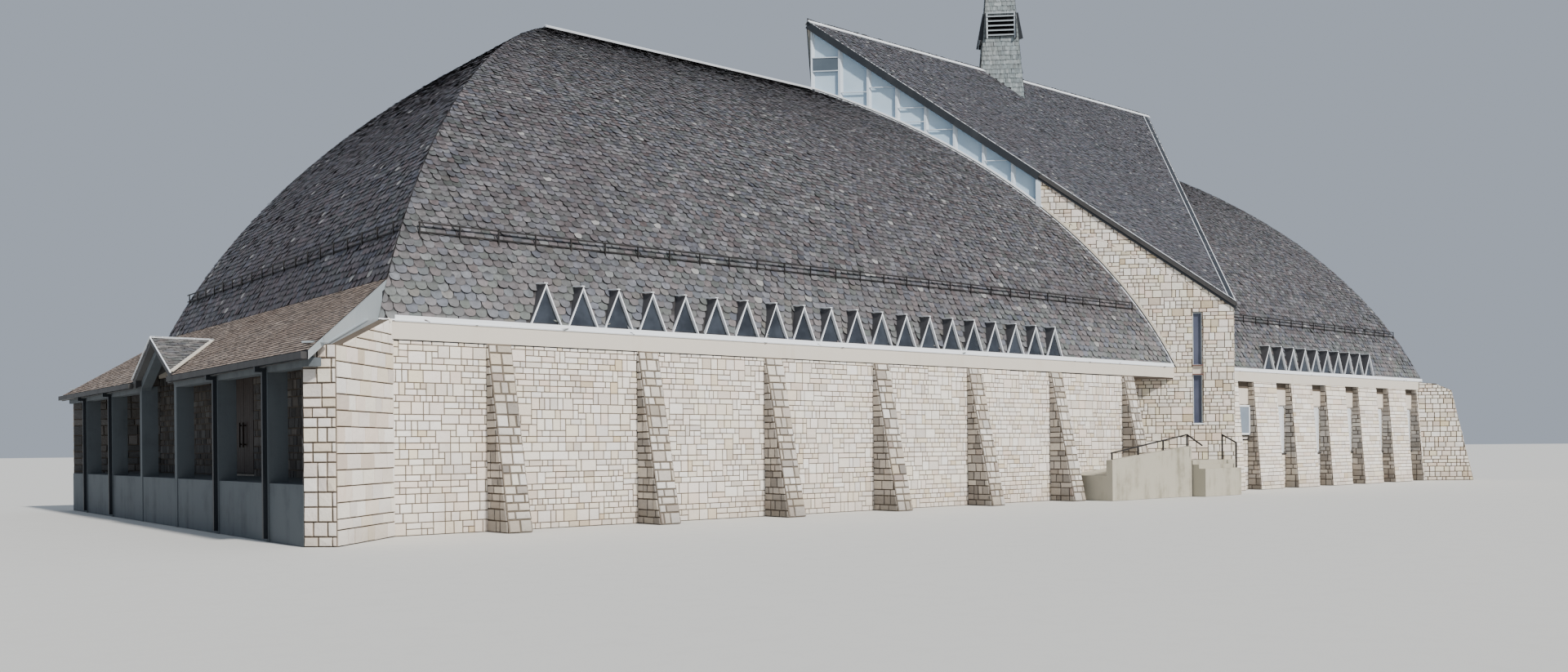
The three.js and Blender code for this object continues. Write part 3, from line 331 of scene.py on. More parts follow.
@dataclass(frozen=True)
class SlateFinish:
    """Split slate with a little colour of its own in each piece, and painted shade round its tail and towards
    its head.
    """

    name: str
    dark: Colour
    middle: Colour
    light: Colour
    cast: Colour
    cast_share: float = 0.3
    foot_tint: float = 0.0
    painted_shade_share: float = 0.85
    tail: float = 0.325
    rim: float = 0.09
    blotches: float = 0.0
    mottle: float = 0.55
    pale: Colour = (0.34, 0.34, 0.34)
    pale_from: float = 0.985
    pale_share: float = 0.7
    cloud_share: float = 0.35
    foot_low: float = 2.6
    foot_height: float = 4.2
    shadow: Colour = (0.01, 0.01, 0.012)
    rust: Colour = (0.13, 0.08, 0.072)
    hues: tuple[Colour, ...] = ((0.074, 0.1, 0.08), (0.075, 0.09, 0.14), (0.12, 0.11, 0.09))
    bright: tuple[Colour, ...] = (
        (0.28, 0.25, 0.245), (0.24, 0.245, 0.26), (0.21, 0.25, 0.225), (0.22, 0.25, 0.31), (0.28, 0.27, 0.22),
    )
    lichen: Colour = (0.24, 0.235, 0.18)
    lichen_share: float = 0.2
    runs: Colour = (0.16, 0.14, 0.12)
    relief: float = 0.0025

    def material(self) -> bpy.types.Material:
        """Makes the material."""
        graph = Graph(self.name)
        shade, hue, across, depth = graph.tone()
        colour = graph.ramp(shade, self.dark, self.middle, self.light)
        colour = graph.mix(self.cast_share, colour, graph.ramp(hue, self.rust, self.cast, *self.hues))
        # Patchy lighter and darker mottle: partly the slates' own tone, partly painted sheen across them.
        colour = graph.shaded(colour, graph.steps(graph.noise(13.0, 2.0), 0.25, 0.75), self.mottle)
        clouds = graph.steps(graph.noise(0.45, 3.0), 0.45, 0.75)
        colour = graph.mix(clouds * self.cloud_share, colour, self.cast)
        wavy = graph.height() + graph.noise(0.7) * 0.9
        near_foot = 1.0 - graph.steps(wavy, self.foot_low, self.foot_height)
        colour = graph.mix(near_foot * self.foot_tint, colour, graph.ramp(hue, *self.bright))
        lichen = graph.steps(graph.noise(11.0, 5.0, 0.7), 0.6, 0.75)
        colour = graph.mix(lichen * self.lichen_share, colour, self.lichen)
        colour = graph.mix((hue > self.pale_from) * self.pale_share, colour, self.pale)
        runs = graph.steps(graph.noise(1.5, 4.0, 0.6, graph.stretched((1.6, 1.6, 0.22))), 0.5, 0.72)
        colour = graph.mix(runs * self.blotches, colour, self.runs)
        # Painted shade: a dark outline along each rounded tail stands in for the shadow that the tail casts,
        # and darkening towards the head stands in for the shade under the next course.
        sideways = across * 2.0 + -1.0
        curve = sideways * sideways * sideways * sideways * -self.tail
        joint = (1.0 - graph.steps(depth + curve, 0.0, self.rim)) + graph.steps(depth, 0.42, 0.85)
        colour = graph.mix(graph.steps(joint, 0.0, 1.0) * self.painted_shade_share, colour, self.shadow)
        grain = graph.noise(60.0, 5.0, 0.65, graph.stretched((1.0, 1.0, 0.35)))
        return graph.finish(
            Base_Color=graph.shaded(colour, grain, 0.5), Roughness=graph.noise(14.0) * 0.25 + 0.5,
            Normal=graph.bump(grain + graph.noise(18.0) * 0.6, self.relief),
        )


@dataclass(frozen=True)
class StoneFinish:
    """Split or sawn stone, each with a tint of its own, and painted shade on the bevels that sink into its
    joints.
    """

    name: str
    tints: tuple[Colour, ...]
    stain_and_edge_shade: Colour = (0.4, 0.32, 0.24)
    stain_share: float = 0.2
    damp: float = 0.35
    relief: float = 0.008
    spread: float = 0.55
    rare_from: float = 0.93
    rare_share: float = 0.35
    edge_shade_share: float = 0.6

    def material(self) -> bpy.types.Material:
        """Makes the material."""
        graph = Graph(self.name)
        shade, hue, rarity, depth = graph.tone()
        colour = graph.shaded(graph.ramp(hue, *self.tints), shade, self.spread)
        mottle = graph.noise(22.0, 6.0, 0.7)
        streaks = graph.noise(1.6, 4.0, 0.6, graph.stretched((1.0, 1.0, 0.25)))
        foot = 1.0 - graph.steps(graph.height() + graph.noise(3.0) * 0.3, 0.15, 0.6)
        # Real stains, damp at the foot and rare odd stones, then painted shade on each bevel, darkest where
        # it sinks into the joint.
        stains_and_shade = (
            (graph.steps(mottle, 0.52, 0.78), self.stain_share),
            (graph.steps(streaks, 0.55, 0.8), self.stain_share),
            (foot, self.damp), (rarity > self.rare_from, self.rare_share), (depth, self.edge_shade_share),
        )
        for share, strength in stains_and_shade:
            colour = graph.mix(share * strength, colour, self.stain_and_edge_shade)
        rough = graph.noise(40.0, 6.0, 0.65) + graph.noise(9.0, 3.0) * 1.5
        return graph.finish(
            Base_Color=colour, Roughness=graph.noise(25.0) * 0.15 + 0.8,
            Normal=graph.bump(rough, self.relief, 0.8),
        )


@dataclass(frozen=True)
class PlainFinish:
    """A plain surface with slight stains, such as render, concrete, zinc or paint."""

    name: str
    colour: Colour
    worn: Colour
    roughness: float = 0.8
    metallic: float = 0.0
    stain_low: float = 0.45
    stain_high: float = 0.75
    streaks: float = 0.5
    relief: float = 0.0012

    def material(self) -> bpy.types.Material:
        """Makes the material."""
        graph = Graph(self.name)
        drips = graph.noise(5.0, 5.0, 0.6, graph.stretched((1.0, 1.0, 0.12)))
        clouds = graph.noise(2.5, 5.0, 0.6)
        mingled = drips * self.streaks + clouds * (1.0 - self.streaks)
        stains = graph.steps(mingled, self.stain_low, self.stain_high)
        grain = graph.noise(70.0, 5.0, 0.6)
        colour = graph.mix(stains, self.colour, self.worn)
        colour = graph.mix(graph.steps(grain, 0.5, 0.8) * 0.18, colour, self.worn)
        return graph.finish(
            Base_Color=colour, Metallic=self.metallic, Normal=graph.bump(grain + clouds, self.relief),
            Roughness=stains * 0.15 + grain * 0.1 + (self.roughness - 0.1),
        )


@dataclass(frozen=True)
class BoardFinish:
    """Stained boards with grain along one axis."""

    name: str
    dark: Colour
    light: Colour
    grain: Point = (14.0, 14.0, 1.2)

    def material(self) -> bpy.types.Material:
        """Makes the material."""
        graph = Graph(self.name)
        lines = graph.noise(6.0, 6.0, 0.7, graph.stretched(self.grain))
        fine = graph.noise(30.0, 5.0, 0.7, graph.stretched(self.grain))
        spread = graph.steps(lines * 0.65 + fine * 0.35, 0.3, 0.72)
        return graph.finish(
            Base_Color=graph.ramp(spread, self.dark, self.light), Roughness=fine * 0.25 + 0.4,
            Normal=graph.bump(lines + fine, 0.0012),
        )


@dataclass(frozen=True)
class GlassFinish:
    """Window glass that shows mostly reflections, or frosted glass."""

    name: str
    colour: Colour
    depth: Colour
    roughness: float = 0.08
    coat: float = 0.6
    scale: float = 1.2

    def material(self) -> bpy.types.Material:
        """Makes the material."""
        graph = Graph(self.name)
        cloud = graph.steps(graph.noise(self.scale, 3.0), 0.3, 0.7)
        return graph.finish(
            Base_Color=graph.mix(cloud, self.colour, self.depth), Coat_Weight=self.coat, Coat_Roughness=0.05,
            Roughness=graph.noise(8.0) * 0.1 + self.roughness,
            Normal=graph.bump(graph.noise(5.0, 2.0), 0.002, 0.15),
        )


class Palette(Enum):
    """Every finish of the building."""

    VAULT_SLATE = SlateFinish(
        "vault_slate", (0.024, 0.023, 0.028), (0.076, 0.073, 0.083), (0.17, 0.167, 0.182),
        (0.078, 0.064, 0.073), foot_tint=0.4, pale_from=0.992,
    )
    # A darker, more purple copy of the vault slate for the west end. Its darkness is painted shade of the
    # side turned from the sun.
    WEST_SLATE = SlateFinish(
        "west_slate", (0.03, 0.028, 0.036), (0.066, 0.06, 0.074), (0.12, 0.112, 0.132), (0.075, 0.055, 0.062),
    )
    CROSSING_SLATE = SlateFinish(
        "crossing_slate", (0.04, 0.041, 0.052), (0.084, 0.085, 0.105), (0.15, 0.153, 0.182),
        (0.085, 0.075, 0.087), painted_shade_share=0.75, pale_from=0.99,
    )
    PORCH_SLATE = SlateFinish(
        "porch_slate", (0.24, 0.185, 0.15), (0.37, 0.29, 0.235), (0.52, 0.42, 0.35), (0.3, 0.2, 0.15), 0.18,
        painted_shade_share=0.72, tail=0.08, rim=0.16, pale_from=1.0,
    )
    GABLE_SLATE = SlateFinish(
        "gable_slate", (0.13, 0.13, 0.132), (0.21, 0.206, 0.206), (0.31, 0.305, 0.3), (0.2, 0.17, 0.16),
        painted_shade_share=0.72, tail=0.08, rim=0.14, pale_from=1.0,
    )
    SPIRE_SLATE = SlateFinish(
        "spire_slate", (0.155, 0.185, 0.195), (0.245, 0.295, 0.31), (0.36, 0.41, 0.425), (0.3, 0.28, 0.25),
        0.12, painted_shade_share=0.22, tail=0.06, rim=0.05, blotches=0.75, mottle=0.35, pale_from=1.0,
    )
    SLATE_BED = PlainFinish("slate_bed", (0.022, 0.021, 0.024), (0.035, 0.032, 0.034))
    CHEEK = PlainFinish("dormer_cheek", (0.07, 0.07, 0.078), (0.045, 0.044, 0.05), 0.7)
    ASHLAR = StoneFinish(
        "ashlar",
        ((0.76, 0.66, 0.52), (0.9, 0.85, 0.77), (0.87, 0.76, 0.67), (0.76, 0.72, 0.68), (0.93, 0.89, 0.82),
         (0.86, 0.79, 0.66), (0.89, 0.8, 0.73), (0.72, 0.66, 0.58)), stain_share=0.25,
    )
    WARM = StoneFinish(
        "warm_ashlar",
        ((0.78, 0.68, 0.5), (0.92, 0.87, 0.78), (0.88, 0.74, 0.64), (0.76, 0.71, 0.63), (0.94, 0.9, 0.82),
         (0.84, 0.78, 0.6), (0.92, 0.82, 0.74), (0.68, 0.6, 0.48)), stain_and_edge_shade=(0.34, 0.26, 0.19), spread=0.6,
    )
    QUOIN = StoneFinish(
        "quoin",
        ((0.5, 0.45, 0.39), (0.66, 0.61, 0.54), (0.55, 0.52, 0.48), (0.72, 0.66, 0.58), (0.42, 0.38, 0.34)),
        stain_and_edge_shade=(0.17, 0.145, 0.12), stain_share=0.4, damp=0.5, relief=0.014, spread=0.7,
    )
    # Darker stone for reveals and buttress sides. Its darkness is partly painted shade, as these faces stand
    # in shade.
    REVEAL = StoneFinish(
        "reveal_stone", ((0.42, 0.38, 0.33), (0.55, 0.49, 0.42), (0.36, 0.33, 0.3), (0.48, 0.44, 0.39)),
        stain_and_edge_shade=(0.12, 0.1, 0.08), stain_share=0.45, damp=0.5, relief=0.012,
    )
    # Darker copy of the stone: painted shade for the porch's inner faces, which stand in shade.
    SHADED = StoneFinish(
        "shaded_stone",
        ((0.08, 0.072, 0.066), (0.115, 0.104, 0.095), (0.1, 0.1, 0.102), (0.066, 0.062, 0.06)),
        stain_and_edge_shade=(0.03, 0.027, 0.025), stain_share=0.5, damp=0.5, relief=0.012,
    )
    MORTAR = PlainFinish("mortar", (0.145, 0.118, 0.09), (0.085, 0.068, 0.052), 0.95)
    # Dark mortar. It is partly painted shade: it darkens the joints of the shaded porch walls and of
    # west-facing faces, and fills the strips where the beam's shadow falls in the choir recesses.
    DARK_MORTAR_AND_SHADE = PlainFinish("dark_mortar_and_shade", (0.1, 0.078, 0.058), (0.05, 0.04, 0.03), 0.95)
    FILLET = PlainFinish("verge_mortar", (0.66, 0.6, 0.5), (0.52, 0.46, 0.37), 0.9)
    PLASTER = PlainFinish("plaster", (0.62, 0.58, 0.5), (0.5, 0.46, 0.39), 0.9)
    BEAM = PlainFinish(
        "beam_concrete", (0.66, 0.61, 0.53), (0.56, 0.48, 0.39), 0.85, stain_low=0.5, stain_high=0.85,
    )
    RAMP = PlainFinish("ramp_concrete", (0.46, 0.43, 0.35), (0.24, 0.22, 0.16), 0.9, stain_high=0.7)
    FIN = PlainFinish("fin_concrete", (0.1, 0.118, 0.132), (0.065, 0.075, 0.083), 0.8)
    PANE_FRAME = PlainFinish("clerestory_bars", (0.62, 0.7, 0.78), (0.52, 0.6, 0.68), 0.5)
    FLOOR = PlainFinish("floor_tiles", (0.3, 0.27, 0.23), (0.2, 0.18, 0.15), 0.7)
    ZINC = PlainFinish("zinc", (0.45, 0.5, 0.53), (0.36, 0.41, 0.45), 0.45, 0.35)
    WHITE = PlainFinish(
        "white_metal", (0.88, 0.92, 0.97), (0.7, 0.73, 0.77), 0.5, stain_low=0.55, stain_high=0.95,
    )
    VALLEY = PlainFinish("valley_lead", (0.62, 0.58, 0.5), (0.45, 0.42, 0.36), 0.6)
    NAVY = PlainFinish("navy_fascia", (0.007, 0.011, 0.017), (0.013, 0.018, 0.025), 0.5)
    FASCIA = PlainFinish("grey_fascia", (0.04, 0.039, 0.04), (0.024, 0.023, 0.024), 0.8)
    GUTTER = PlainFinish("porch_gutter", (0.04, 0.039, 0.04), (0.025, 0.024, 0.025), 0.6)
    DARK_METAL = PlainFinish("dark_metal", (0.018, 0.016, 0.016), (0.04, 0.032, 0.028), 0.5, 0.3)
    PANEL = PlainFinish("beige_panel", (0.72, 0.65, 0.56), (0.62, 0.55, 0.46), 0.85)
    RUSSET = PlainFinish("russet_panel", (0.16, 0.05, 0.035), (0.08, 0.03, 0.02), 0.6)
    SOFFIT_GREY = PlainFinish("porch_soffit", (0.1, 0.1, 0.1), (0.07, 0.07, 0.07), 0.8)
    WINDOW = GlassFinish("window_glass", (0.055, 0.062, 0.1), (0.1, 0.11, 0.16), coat=0.3)
    CHOIR_GLASS = GlassFinish("choir_glass", (0.72, 0.76, 0.8), (0.8, 0.83, 0.86), 0.4, 0.2)
    FIRST_GLASS = GlassFinish("first_choir_glass", (0.2, 0.25, 0.31), (0.3, 0.35, 0.42))
    DORMER_GLASS = GlassFinish(
        "dormer_glass", (0.018, 0.022, 0.03), (0.045, 0.054, 0.07), coat=0.3, scale=3.0,
    )
    TINTED = GlassFinish("tinted_glass", (0.06, 0.085, 0.11), (0.1, 0.13, 0.16), 0.3, 0.15)
    FROSTED = GlassFinish("frosted_glass", (0.42, 0.57, 0.71), (0.52, 0.67, 0.8), 0.35, 0.15)
    DOOR = BoardFinish("door_boards", (0.016, 0.01, 0.008), (0.05, 0.03, 0.022))
    SOFFIT = BoardFinish("soffit_boards", (0.03, 0.02, 0.014), (0.1, 0.065, 0.045), (1.2, 14.0, 14.0))


class Paints:
    """Makes each material once and hands it out."""

    def __init__(self) -> None:
        """Starts with no material."""
        self.made: dict[Palette, bpy.types.Material] = {}

    def get(self, choice: Palette) -> bpy.types.Material:
        """Material of a finish."""
        if choice not in self.made:
            self.made[choice] = choice.value.material()
        return self.made[choice]


PAINTS = Paints()


class Bench:
    """Where single pieces are shaped from primitives."""

    most_bevel = 0.3

    @staticmethod
    def clear() -> None:
        """Leaves edit mode and selects nothing."""
        if bpy.context.object and bpy.context.object.mode != "OBJECT":
            bpy.ops.object.mode_set(mode="OBJECT")
        bpy.ops.object.select_all(action="DESELECT")

    @staticmethod
    def settle(piece: Piece, place: Matrix) -> None:
        """Puts a piece in its place and keeps that place in its mesh."""
        piece.matrix_world = place
        bpy.ops.object.transform_apply(location=True, rotation=True, scale=True)

    @staticmethod
    def modify(piece: Piece, kind: str, **settings: object) -> None:
        """Adds a modifier and applies it."""
        modifier = piece.modifiers.new(kind, kind)
        for key, setting in settings.items():
            setattr(modifier, key, setting)
        bpy.ops.object.modifier_apply(modifier=modifier.name)

    def bar(
        self, start: Sequence[float], end: Sequence[float], width: float, depth: float,
        up: Sequence[float] = UP, edge: float = 0.006,
    ) -> Piece:
        """A bar of rectangular section between two points of the real building.

        Args:
            start: Middle of one end.
            end: Middle of the other end.
            width: Size across, level if up points up.
            depth: Size along the up direction.
            up: Direction that the depth follows as nearly as it can.
            edge: Width of the bevel on its edges.

        Returns:
            The bar, with its place in its mesh.
        """
        first, last = SITE.at(start), SITE.at(end)
        along = (last - first).normalized()
        across = along.cross(Vector(up)).normalized()
        self.clear()
        bpy.ops.mesh.primitive_cube_add(size=1.0)
        piece = bpy.context.object
        size = (width * SITE.scale, depth * SITE.scale, (last - first).length)
        turn = Matrix((across, across.cross(along), -along)).transposed().to_4x4()
        self.settle(piece, Matrix.Translation((first + last) / 2) @ turn @ Matrix.Diagonal((*size, 1.0)))
        bevel = min(edge * SITE.scale, min(size) * self.most_bevel)
        self.modify(piece, "BEVEL", width=bevel, segments=2, limit_method="ANGLE")
        return piece

    def block(self, low: Point, high: Point, edge: float = 0.006) -> Piece:
        """An upright block between two corners of the real building."""
        x, y = (low[0] + high[0]) / 2, (low[1] + high[1]) / 2
        size = (high[1] - low[1], high[0] - low[0])
        return self.bar((x, y, low[2]), (x, y, high[2]), *size, EAST, edge)

    def frame(
        self, place: Callable[[float, float], Point], across: Pair, heights: Pair, margin: float, size: Pair,
        facing: Point,
    ) -> list[Piece]:
        """Two upright bars and two level ones round an opening.

        Args:
            place: Gives the place for a distance across and a height.
            across: Both sides of the opening.
            heights: Its foot and its head.
            margin: How far inside of these the middles of the bars lie.
            size: Width and depth of the bars.
            facing: Level direction through the opening.

        Returns:
            The bars.
        """
        bars = []
        for distance in (across[0] + margin, across[1] - margin):
            bars.append(self.bar(*(place(distance, height) for height in heights), *size, facing))
        for height in (heights[0] + margin, heights[1] - margin):
            bars.append(self.bar(*(place(distance, height) for distance in across), size[1], size[0]))
        return bars

    def row(self, piece: Piece, count: int, step: Sequence[float]) -> Piece:
        """Repeats a piece at equal steps."""
        offset = Vector(step) * SITE.scale
        self.modify(
            piece, "ARRAY", count=count, use_relative_offset=False, use_constant_offset=True,
            constant_offset_displace=offset,
        )
        return piece

    def cap(self, start: Point, end: Point, leg: float, fall: float, thickness: float = 0.02) -> Piece:
        """A folded metal cap along a level ridge.

        Args:
            start: One end of the ridge line.
            end: The other end.
            leg: Level reach of each leg.
            fall: Drop of each leg for each metre outwards.
            thickness: Thickness of the metal.

        Returns:
            The cap, with its place in its mesh.
        """
        first, last = SITE.at(start), SITE.at(end)
        along = (last - first).normalized()
        across = Vector(UP).cross(along)
        self.clear()
        bpy.ops.mesh.primitive_grid_add(x_subdivisions=1, y_subdivisions=2, size=1.0)
        piece = bpy.context.object
        turn = Matrix((along, across, Vector(UP))).transposed().to_4x4()
        size = Matrix.Diagonal(((last - first).length, 2 * leg * SITE.scale, 1.0, 1.0))
        self.settle(piece, Matrix.Translation((first + last) / 2) @ turn @ size)
        for vertex in piece.data.vertices:
            vertex.select = abs((vertex.co - first).dot(across)) > leg * SITE.scale / 2
        for edge in piece.data.edges:
            edge.select = all(piece.data.vertices[i].select for i in edge.vertices)
        for polygon in piece.data.polygons:
            polygon.select = False
        bpy.ops.object.mode_set(mode="EDIT")
        bpy.ops.transform.translate(value=(0, 0, -leg * fall * SITE.scale))
        bpy.ops.object.mode_set(mode="OBJECT")
        self.modify(piece, "SOLIDIFY", thickness=thickness * SITE.scale, offset=1.0)
        return piece

    def gather(
        self, name: str, parts: Sequence[Piece], choice: Palette, slot: str, body: str = BODY,
    ) -> None:
        """Joins parts into one named piece that rides on a body.

        Args:
            name: Name of the piece.
            parts: The parts. Each is used up.
            choice: The finish.
            slot: The record's material slot.
            body: The body that carries the piece.
        """
        self.clear()
        for part in parts:
            part.select_set(True)
        bpy.context.view_layer.objects.active = parts[0]
        bpy.ops.object.join()
        self.dress(bpy.context.object, name, choice, slot, body)

    @staticmethod
    def dress(piece: Piece, name: str, choice: Palette, slot: str, body: str = BODY) -> None:
        """Names a piece, gives it its finish and puts it on its body.

        Args:
            piece: The piece.
            name: Its name.
            choice: The finish.
            slot: The record's material slot; not used.
            body: The body that carries it.
        """
        piece.name = piece.data.name = name
        piece.data.materials.clear()
        piece.data.materials.append(PAINTS.get(choice))
        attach(piece, body)
        log.info("%s: %d faces on %s", name, len(piece.data.polygons), body)


BENCH = Bench()


def joined_mesh(
    name: str, points: np.ndarray, faces: list, tones: np.ndarray, choice: Palette, slot: str,
) -> None:
    """Makes one piece of many small forms and puts it on the building.

    Args:
        name: Name of the piece.
        points: Corners in metres of the real building.
        faces: Lists of corner numbers.
        tones: Four numbers for each corner.
        choice: The finish.
        slot: The record's material slot.
    """
    mesh = bpy.data.meshes.new(name)
    mesh.from_pydata(SITE.points(points), [], faces)
    attribute = mesh.color_attributes.new(TONE, "FLOAT_COLOR", "POINT")
    attribute.data.foreach_set("color", tones.astype(np.float32).ravel())
    piece = bpy.data.objects.new(name, mesh)
    bpy.context.scene.collection.objects.link(piece)
    BENCH.dress(piece, name, choice, slot)


Span = Callable[[np.ndarray], Arrays]


@dataclass
class Slope:
    """A plane of roof, given by a corner, the direction along its foot and the direction up it."""

    corner: Point
    along: Point
    upwards: Point
    length: float
    span: Span

    def place(self, along: np.ndarray, up: np.ndarray, lift: np.ndarray) -> np.ndarray:
        """Points at distances along the foot, up the slope and above it."""
        first, second = np.array(self.along), np.array(self.upwards)
        normal = np.cross(first, second)
        steps = along[..., None] * first + up[..., None] * second + lift[..., None] * normal
        return np.array(self.corner) + steps


@dataclass
class VaultSide:
    """One side of the vault, given by its corner at the eave and two level directions."""

    corner: Point
    along: Point
    inward: Point
    span_by_inward: Span
    foot_height: float = 4.82

    @property
    def length(self) -> float:
        """Length up the arc from the foot to the ridge."""
        return (SITE.ridge_angle - SITE.arc_angle(self.foot_height)) * SITE.radius

    def span(self, up: np.ndarray) -> Arrays:
        """Both ends of a course at a length up the arc."""
        angle = SITE.arc_angle(self.foot_height) + up / SITE.radius
        return self.span_by_inward(SITE.centre_inward - SITE.radius * np.cos(angle))

    def place(self, along: np.ndarray, up: np.ndarray, lift: np.ndarray) -> np.ndarray:
        """Points at distances along the eave, up the arc and above it."""
        angle = SITE.arc_angle(self.foot_height) + up / SITE.radius
        radius = SITE.radius + lift
        inward = SITE.centre_inward - radius * np.cos(angle)
        height = SITE.centre_height + radius * np.sin(angle)
        level = along[..., None] * np.array(self.along) + inward[..., None] * np.array(self.inward)
        return np.array(self.corner) + level + height[..., None] * np.array(UP)


Surface = Slope | VaultSide


@dataclass
class Slating:
    """One kind of slate, and how it is laid in courses."""

    foot_width: float = 0.29
    head_width: float = 0.15
    foot_show: float = 0.21
    head_show: float = 0.105
    roundness: float = 0.6
    lift: float = 0.026
    wander: float = 0.009
    tilt: float = 1.0
    snugness: float = 0.985
    width_spread: float = 0.035
    turn_spread: float = 0.04
    pitch_spread: float = 0.25
    pitch_range: Pair = (0.4, 1.6)
    roll_spread: float = 0.05
    shade_spread: float = 0.26
    least_width: float = 0.2
    thinning: float = 0.86
    tail_along: tuple[float, ...] = (-0.5, -0.37, 0.0, 0.37, 0.5)
    tail_up: tuple[float, ...] = (1.0, 0.28, 0.0, 0.28, 1.0)
    head: float = 0.03
    seed: int = field(kw_only=True)

    def lay(self, surface: Surface, skip: Callable[[np.ndarray], np.ndarray] | None = None) -> Arrays:
        """Lays slates over a surface.

        Args:
            surface: The roof surface.
            skip: Tells for each slate's middle whether nothing is laid there.

        Returns:
            The corners, and as many tones, of each slate.
        """
        rng = np.random.default_rng(self.seed)
        courses = []
        foot, row = 0.0, 0
        while foot < surface.length - self.head_show / 2:
            share = (1.0 - foot / surface.length) ** 2
            width = self.head_width + (self.foot_width - self.head_width) * share
            show = self.head_show + (self.foot_show - self.head_show) * share
            corners, tones = self._course(surface, rng, foot, width, show, row)
            keep = ~skip(corners.mean(axis=1)) if skip is not None else slice(None)
            courses.append((corners[keep], tones[keep]))
            foot += show
            row += 1
        corners, tones = (np.concatenate(parts) for parts in zip(*courses))
        return corners, tones

    def _course(
        self, surface: Surface, rng: np.random.Generator, foot: float, width: float, show: float, row: int,
    ) -> Arrays:
        """Corners and tones of one course of slates.

        Args:
            surface: The roof surface.
            rng: Makes it uneven.
            foot: Where it starts up the surface.
            width: Width of a slate.
            show: Length of a slate that shows.
            row: Number of the course.

        Returns:
            Corners and as many tones of each slate.
        """
        left, right = (float(end) for end in surface.span(np.array(foot + show / 2)))
        count = max(int((right - left) / width) + 2, 1)
        tail = self.roundness * show
        length = show + tail + self.head
        middle = left + width * (np.arange(count) + 0.5 * (row % 2)) + rng.normal(0, self.wander, count)
        size = self.snugness * width * (1 + rng.normal(0, self.width_spread, count))
        turn = rng.normal(0, self.turn_spread, count)
        across = np.array([*self.tail_along, 0.5, -0.5])
        upward = np.array([*(tail * np.array(self.tail_up)), length, length])
        along = middle[:, None] + size[:, None] * across - turn[:, None] * upward
        up = foot + upward + turn[:, None] * size[:, None] * across
        up += rng.normal(0, self.wander * 0.5, up.shape) + rng.normal(0, self.wander, (count, 1))
        along = np.clip(along, *surface.span(up))
        keep = np.ptp(along, axis=1) > self.least_width * width
        along, up = along[keep], up[keep]
        count = len(along)
        pitch = 1.0 + self.tilt * rng.normal(0, self.pitch_spread, (count, 1))
        roll = self.tilt * rng.normal(0, self.roll_spread, (count, 1))
        raised = self.lift * (1.0 - self.thinning * upward / length) * np.clip(pitch, *self.pitch_range)
        raised += (roll * across + np.abs(roll) * 0.5) * width * (1.0 - upward / length)
        corners = surface.place(along, up, raised)
        shade = np.clip(rng.normal(0.5, self.shade_spread, (count, 1)), 0, 1)
        # The last number, the share of the way up the slate, lets the finish paint shade towards its head.
        parts = (shade, rng.random((count, 1)), across + 0.5, upward / length)
        return corners, np.stack([np.broadcast_to(part, up.shape) for part in parts], axis=-1)

    @staticmethod
    def join(name: str, laid: Sequence[Arrays], choice: Palette) -> None:
        """Makes one piece of slates laid on one surface or more.

        Args:
            name: Name of the piece.
            laid: What lay gave for each surface.
            choice: The finish.
        """
        corners, tones = (np.concatenate(parts) for parts in zip(*laid))
        faces = np.arange(corners[..., 0].size).reshape(len(corners), -1).tolist()
        joined_mesh(name, corners.reshape(-1, 3), faces, tones.reshape(-1, 4), choice, "slate")


